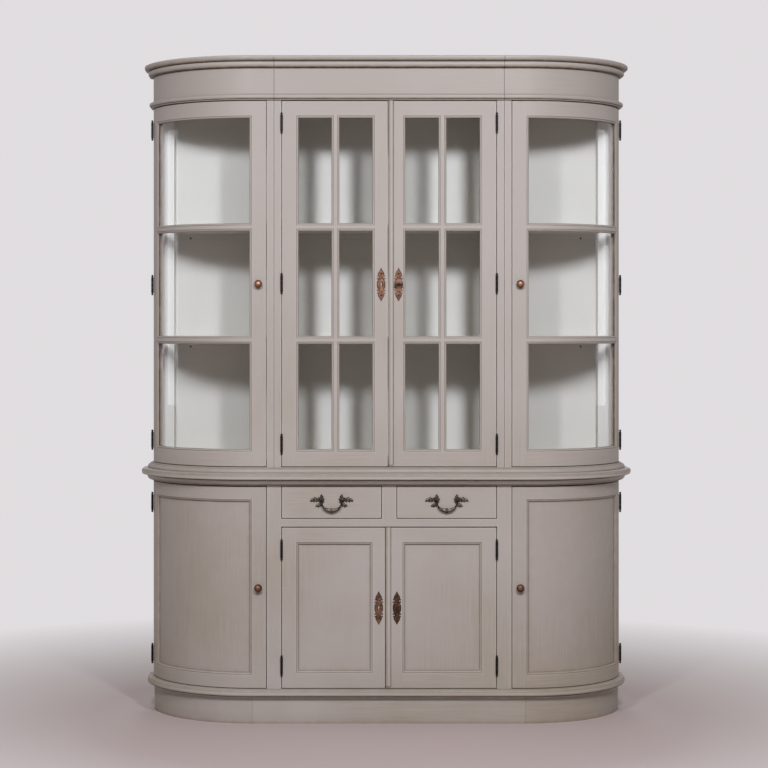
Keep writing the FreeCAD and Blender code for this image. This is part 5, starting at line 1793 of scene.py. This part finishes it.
@dataclass
class Doors:
    """All eight doors with what is on them."""

    plan: Plan
    shop: Workshop
    meeting_stiles: dict[str, Span] = field(default_factory=lambda: {
        "upper": (44 * MM, 48 * MM), "lower": (42 * MM, 55 * MM)})
    tarnish: dict[str, Span] = field(default_factory=lambda: {"upper": (0.46, 0.46), "lower": (0.55, 0.7)})

    def build(self) -> None:
        """Makes the doors tier by tier, then the hinge halves that stay on the carcass."""
        frame_hinges: list[Shape] = []
        for tier, infill in (("upper", Infill.GLASS), ("lower", Infill.PANEL)):
            for side in Side:
                for bow in (False, True):
                    name = f"{tier}_{side.word}{'_bow' if bow else ''}_door"
                    if bow:
                        self.bowed(name, infill, side)
                    else:
                        self.flat(name, tier, infill, side)
                    hinges = Hinges(name, side, self.plan, bow)
                    frame_hinges += hinges.frame_parts()
                    self.shop.make(f"{name}_hinge_knuckles", hinges.door_parts(), [Slot.IRON], name,
                                   [f"{name}_hinge_leaves"])
        self.shop.make("hinge_frame_knuckles", frame_hinges, [Slot.IRON], "carcass", ["hinge_frame_leaves"])

    def flat(self, name: str, tier: str, infill: Infill, side: Side) -> None:
        """One door of the flat pair, with its plate and, on the right, its lock and key."""
        low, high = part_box(f"{name}_frame")
        left, right = self.meeting_stiles[tier]
        stiles = (DoorSizes.stile, left) if side is Side.LEFT else (right, DoorSizes.stile)
        glazed = infill is Infill.GLASS
        Door(name, self.plan, self.shop, infill, (low.x, high.x), (low.z, high.z), *stiles,
             columns=2 if glazed else 1, rows=3 if glazed else 1, astragal=side is Side.RIGHT).build()
        Escutcheon(name, self.plan, self.shop, self.tarnish[tier][side is Side.RIGHT]).build()
        if side is Side.RIGHT:
            Lock(name, self.plan, self.shop, upright_key=tier == "lower").build()

    def bowed(self, name: str, infill: Infill, side: Side) -> None:
        """One bowed door with its knob."""
        low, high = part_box(f"{name}_frame")
        # Panelled bowed doors are darkened all over, glazed ones are not
        rows, rail, wash = 1, DoorSizes.bow_panel_rail, BOW_DARKENING
        if infill is Infill.GLASS:
            rows, rail, wash = 3, DoorSizes.rail, 0.0
        Door(name, self.plan, self.shop, infill, (0.0, self.plan.bow_length - DOOR_GAP), (low.z, high.z),
             DoorSizes.stile, DoorSizes.stile, columns=1, rows=rows, rail=rail, bow=side, wash=wash).build()
        Knob(name, self.plan, self.shop).build()


@dataclass
class Studio:
    """Plain floor, soft light and a camera at the photograph's place.

    Each front lamp is a side, a place across and a power.
    """

    plan: Plan
    distance: float = 7.1
    eye_height: float = 1.314
    eye_left: float = 0.26
    lens: float = 101.0
    shift: Span = (0.096, -0.077)
    floor_colour: Colour = (0.46, 0.373, 0.363, 1)
    floor_roughness: float = 0.7
    floor_radius: float = 14.0
    floor_fade: Span = (1.0, 2.6)
    backdrop: Colour = (0.75, 0.725, 0.745, 1)
    surround: Colour = (0.99, 0.93, 0.68, 1)
    surround_strength: float = 0.115
    lamp_colour: tuple[float, float, float] = (0.91, 0.945, 1.0)
    front_lamps: tuple[tuple[Side, float, float], ...] = (
        (Side.LEFT, -0.99, 165.0), (Side.RIGHT, 0.67, 179.0))
    fill_power: float = 11.0
    back_power: float = 30.0

    def build(self) -> None:
        """Makes the camera, the floor, the lamps and the world."""
        self.camera()
        self.floor()
        for side, x, power in self.front_lamps:
            outward = (x + 6.0 * side.value, 0.0, -1.0)
            self.lamp(f"{side.word} light", (x, -3.5, 2.9), outward, (1.15, 0.45), power)
            beside = (4.2 * side.value, 1.2, 1.6)
            self.lamp(f"{side.word} fill", beside, (0.0, 0.0, 1.2), (1.4, 1.4), self.fill_power)
        self.lamp("back light", (0.0, 4.0, 3.2), (0.0, 0.0, 1.1), (1.6, 1.6), self.back_power)
        self.world()

    def camera(self) -> None:
        """A level camera square to the front, shifted as the photograph is framed."""
        data = bpy.data.cameras.new("photo camera")
        data.lens = self.lens
        data.shift_x, data.shift_y = self.shift
        camera = placed_object("photo camera", data)
        camera.location = (-self.eye_left, self.plan.front_y - self.distance, self.eye_height)
        camera.rotation_euler = (math.pi / 2, 0, 0)
        bpy.context.scene.camera = camera

    def floor(self) -> None:
        """A round pale floor that fades into the backdrop with distance."""
        turn = np.linspace(0, 2 * np.pi, 64, endpoint=False)
        rim = points_at(np.cos(turn), np.sin(turn), 0.0) * self.floor_radius
        mesh = bpy.data.meshes.new("floor")
        mesh.from_pydata(rim.tolist(), [], [list(range(len(turn)))])
        material, kit, shader = surface_kit("pale floor")
        kit.feed_all(shader, {"Base Color": self.floor_colour, "Roughness": self.floor_roughness})
        reach = kit.add("VectorMath", {0: kit.place()}, operation="LENGTH").outputs["Value"]
        away = kit.math("MULTIPLY", kit.ranged(reach, self.floor_fade, (0.0, 1.0)), kit.seen())
        glow = kit.add("Emission", {"Color": self.backdrop}).outputs[0]
        kit.surface(kit.add("MixShader", {0: away, 1: shader.outputs[0], 2: glow}).outputs[0])
        mesh.materials.append(material)
        floor = placed_object("floor", mesh)

    def lamp(self, name: str, place: Sequence[float], target: Sequence[float], size: Span,
             power: float) -> None:
        """A soft rectangular lamp.

        Args:
            name: Its name.
            place: Where it stands.
            target: What it points at.
            size: Width and height.
            power: Its power in watts.
        """
        data = bpy.data.lights.new(name, "AREA")
        data.shape = "RECTANGLE"
        data.size, data.size_y = size
        data.energy = power
        data.color = self.lamp_colour
        lamp = placed_object(name, data)
        lamp.location = place
        way = np.asarray(target) - np.asarray(place)
        level = math.hypot(way[0], way[1])
        lamp.rotation_euler = (math.pi / 2 + math.atan2(way[2], level), 0, math.atan2(-way[0], way[1]))

    def world(self) -> None:
        """An even surround: dim as light, pale where it is seen."""
        world = bpy.data.worlds.new("surround")
        world.use_nodes = True
        bpy.context.scene.world = world
        kit = Kit(world.node_tree)
        light = kit.add("Background", {"Color": self.surround, "Strength": self.surround_strength}).outputs[0]
        shown = kit.add("Background", {"Color": self.backdrop, "Strength": 1.0}).outputs[0]
        kit.surface(kit.add("MixShader", {0: kit.seen(), 1: light, 2: shown}).outputs[0])


def main() -> None:
    """Builds the dresser from the ground up, then its surroundings."""
    logging.basicConfig(level=logging.INFO, format="%(name)s: %(message)s")
    plan, shop = Plan.from_frame(), Workshop()
    for assembly in (Base(plan, shop), Carcass(plan, shop), Crown(plan, shop), Doors(plan, shop),
                     Drawer(Side.LEFT, plan, shop), Drawer(Side.RIGHT, plan, shop), Studio(plan)):
        assembly.build()
    bpy.context.scene.view_settings.view_transform = "Standard"


if __name__ == "__main__":
    main()
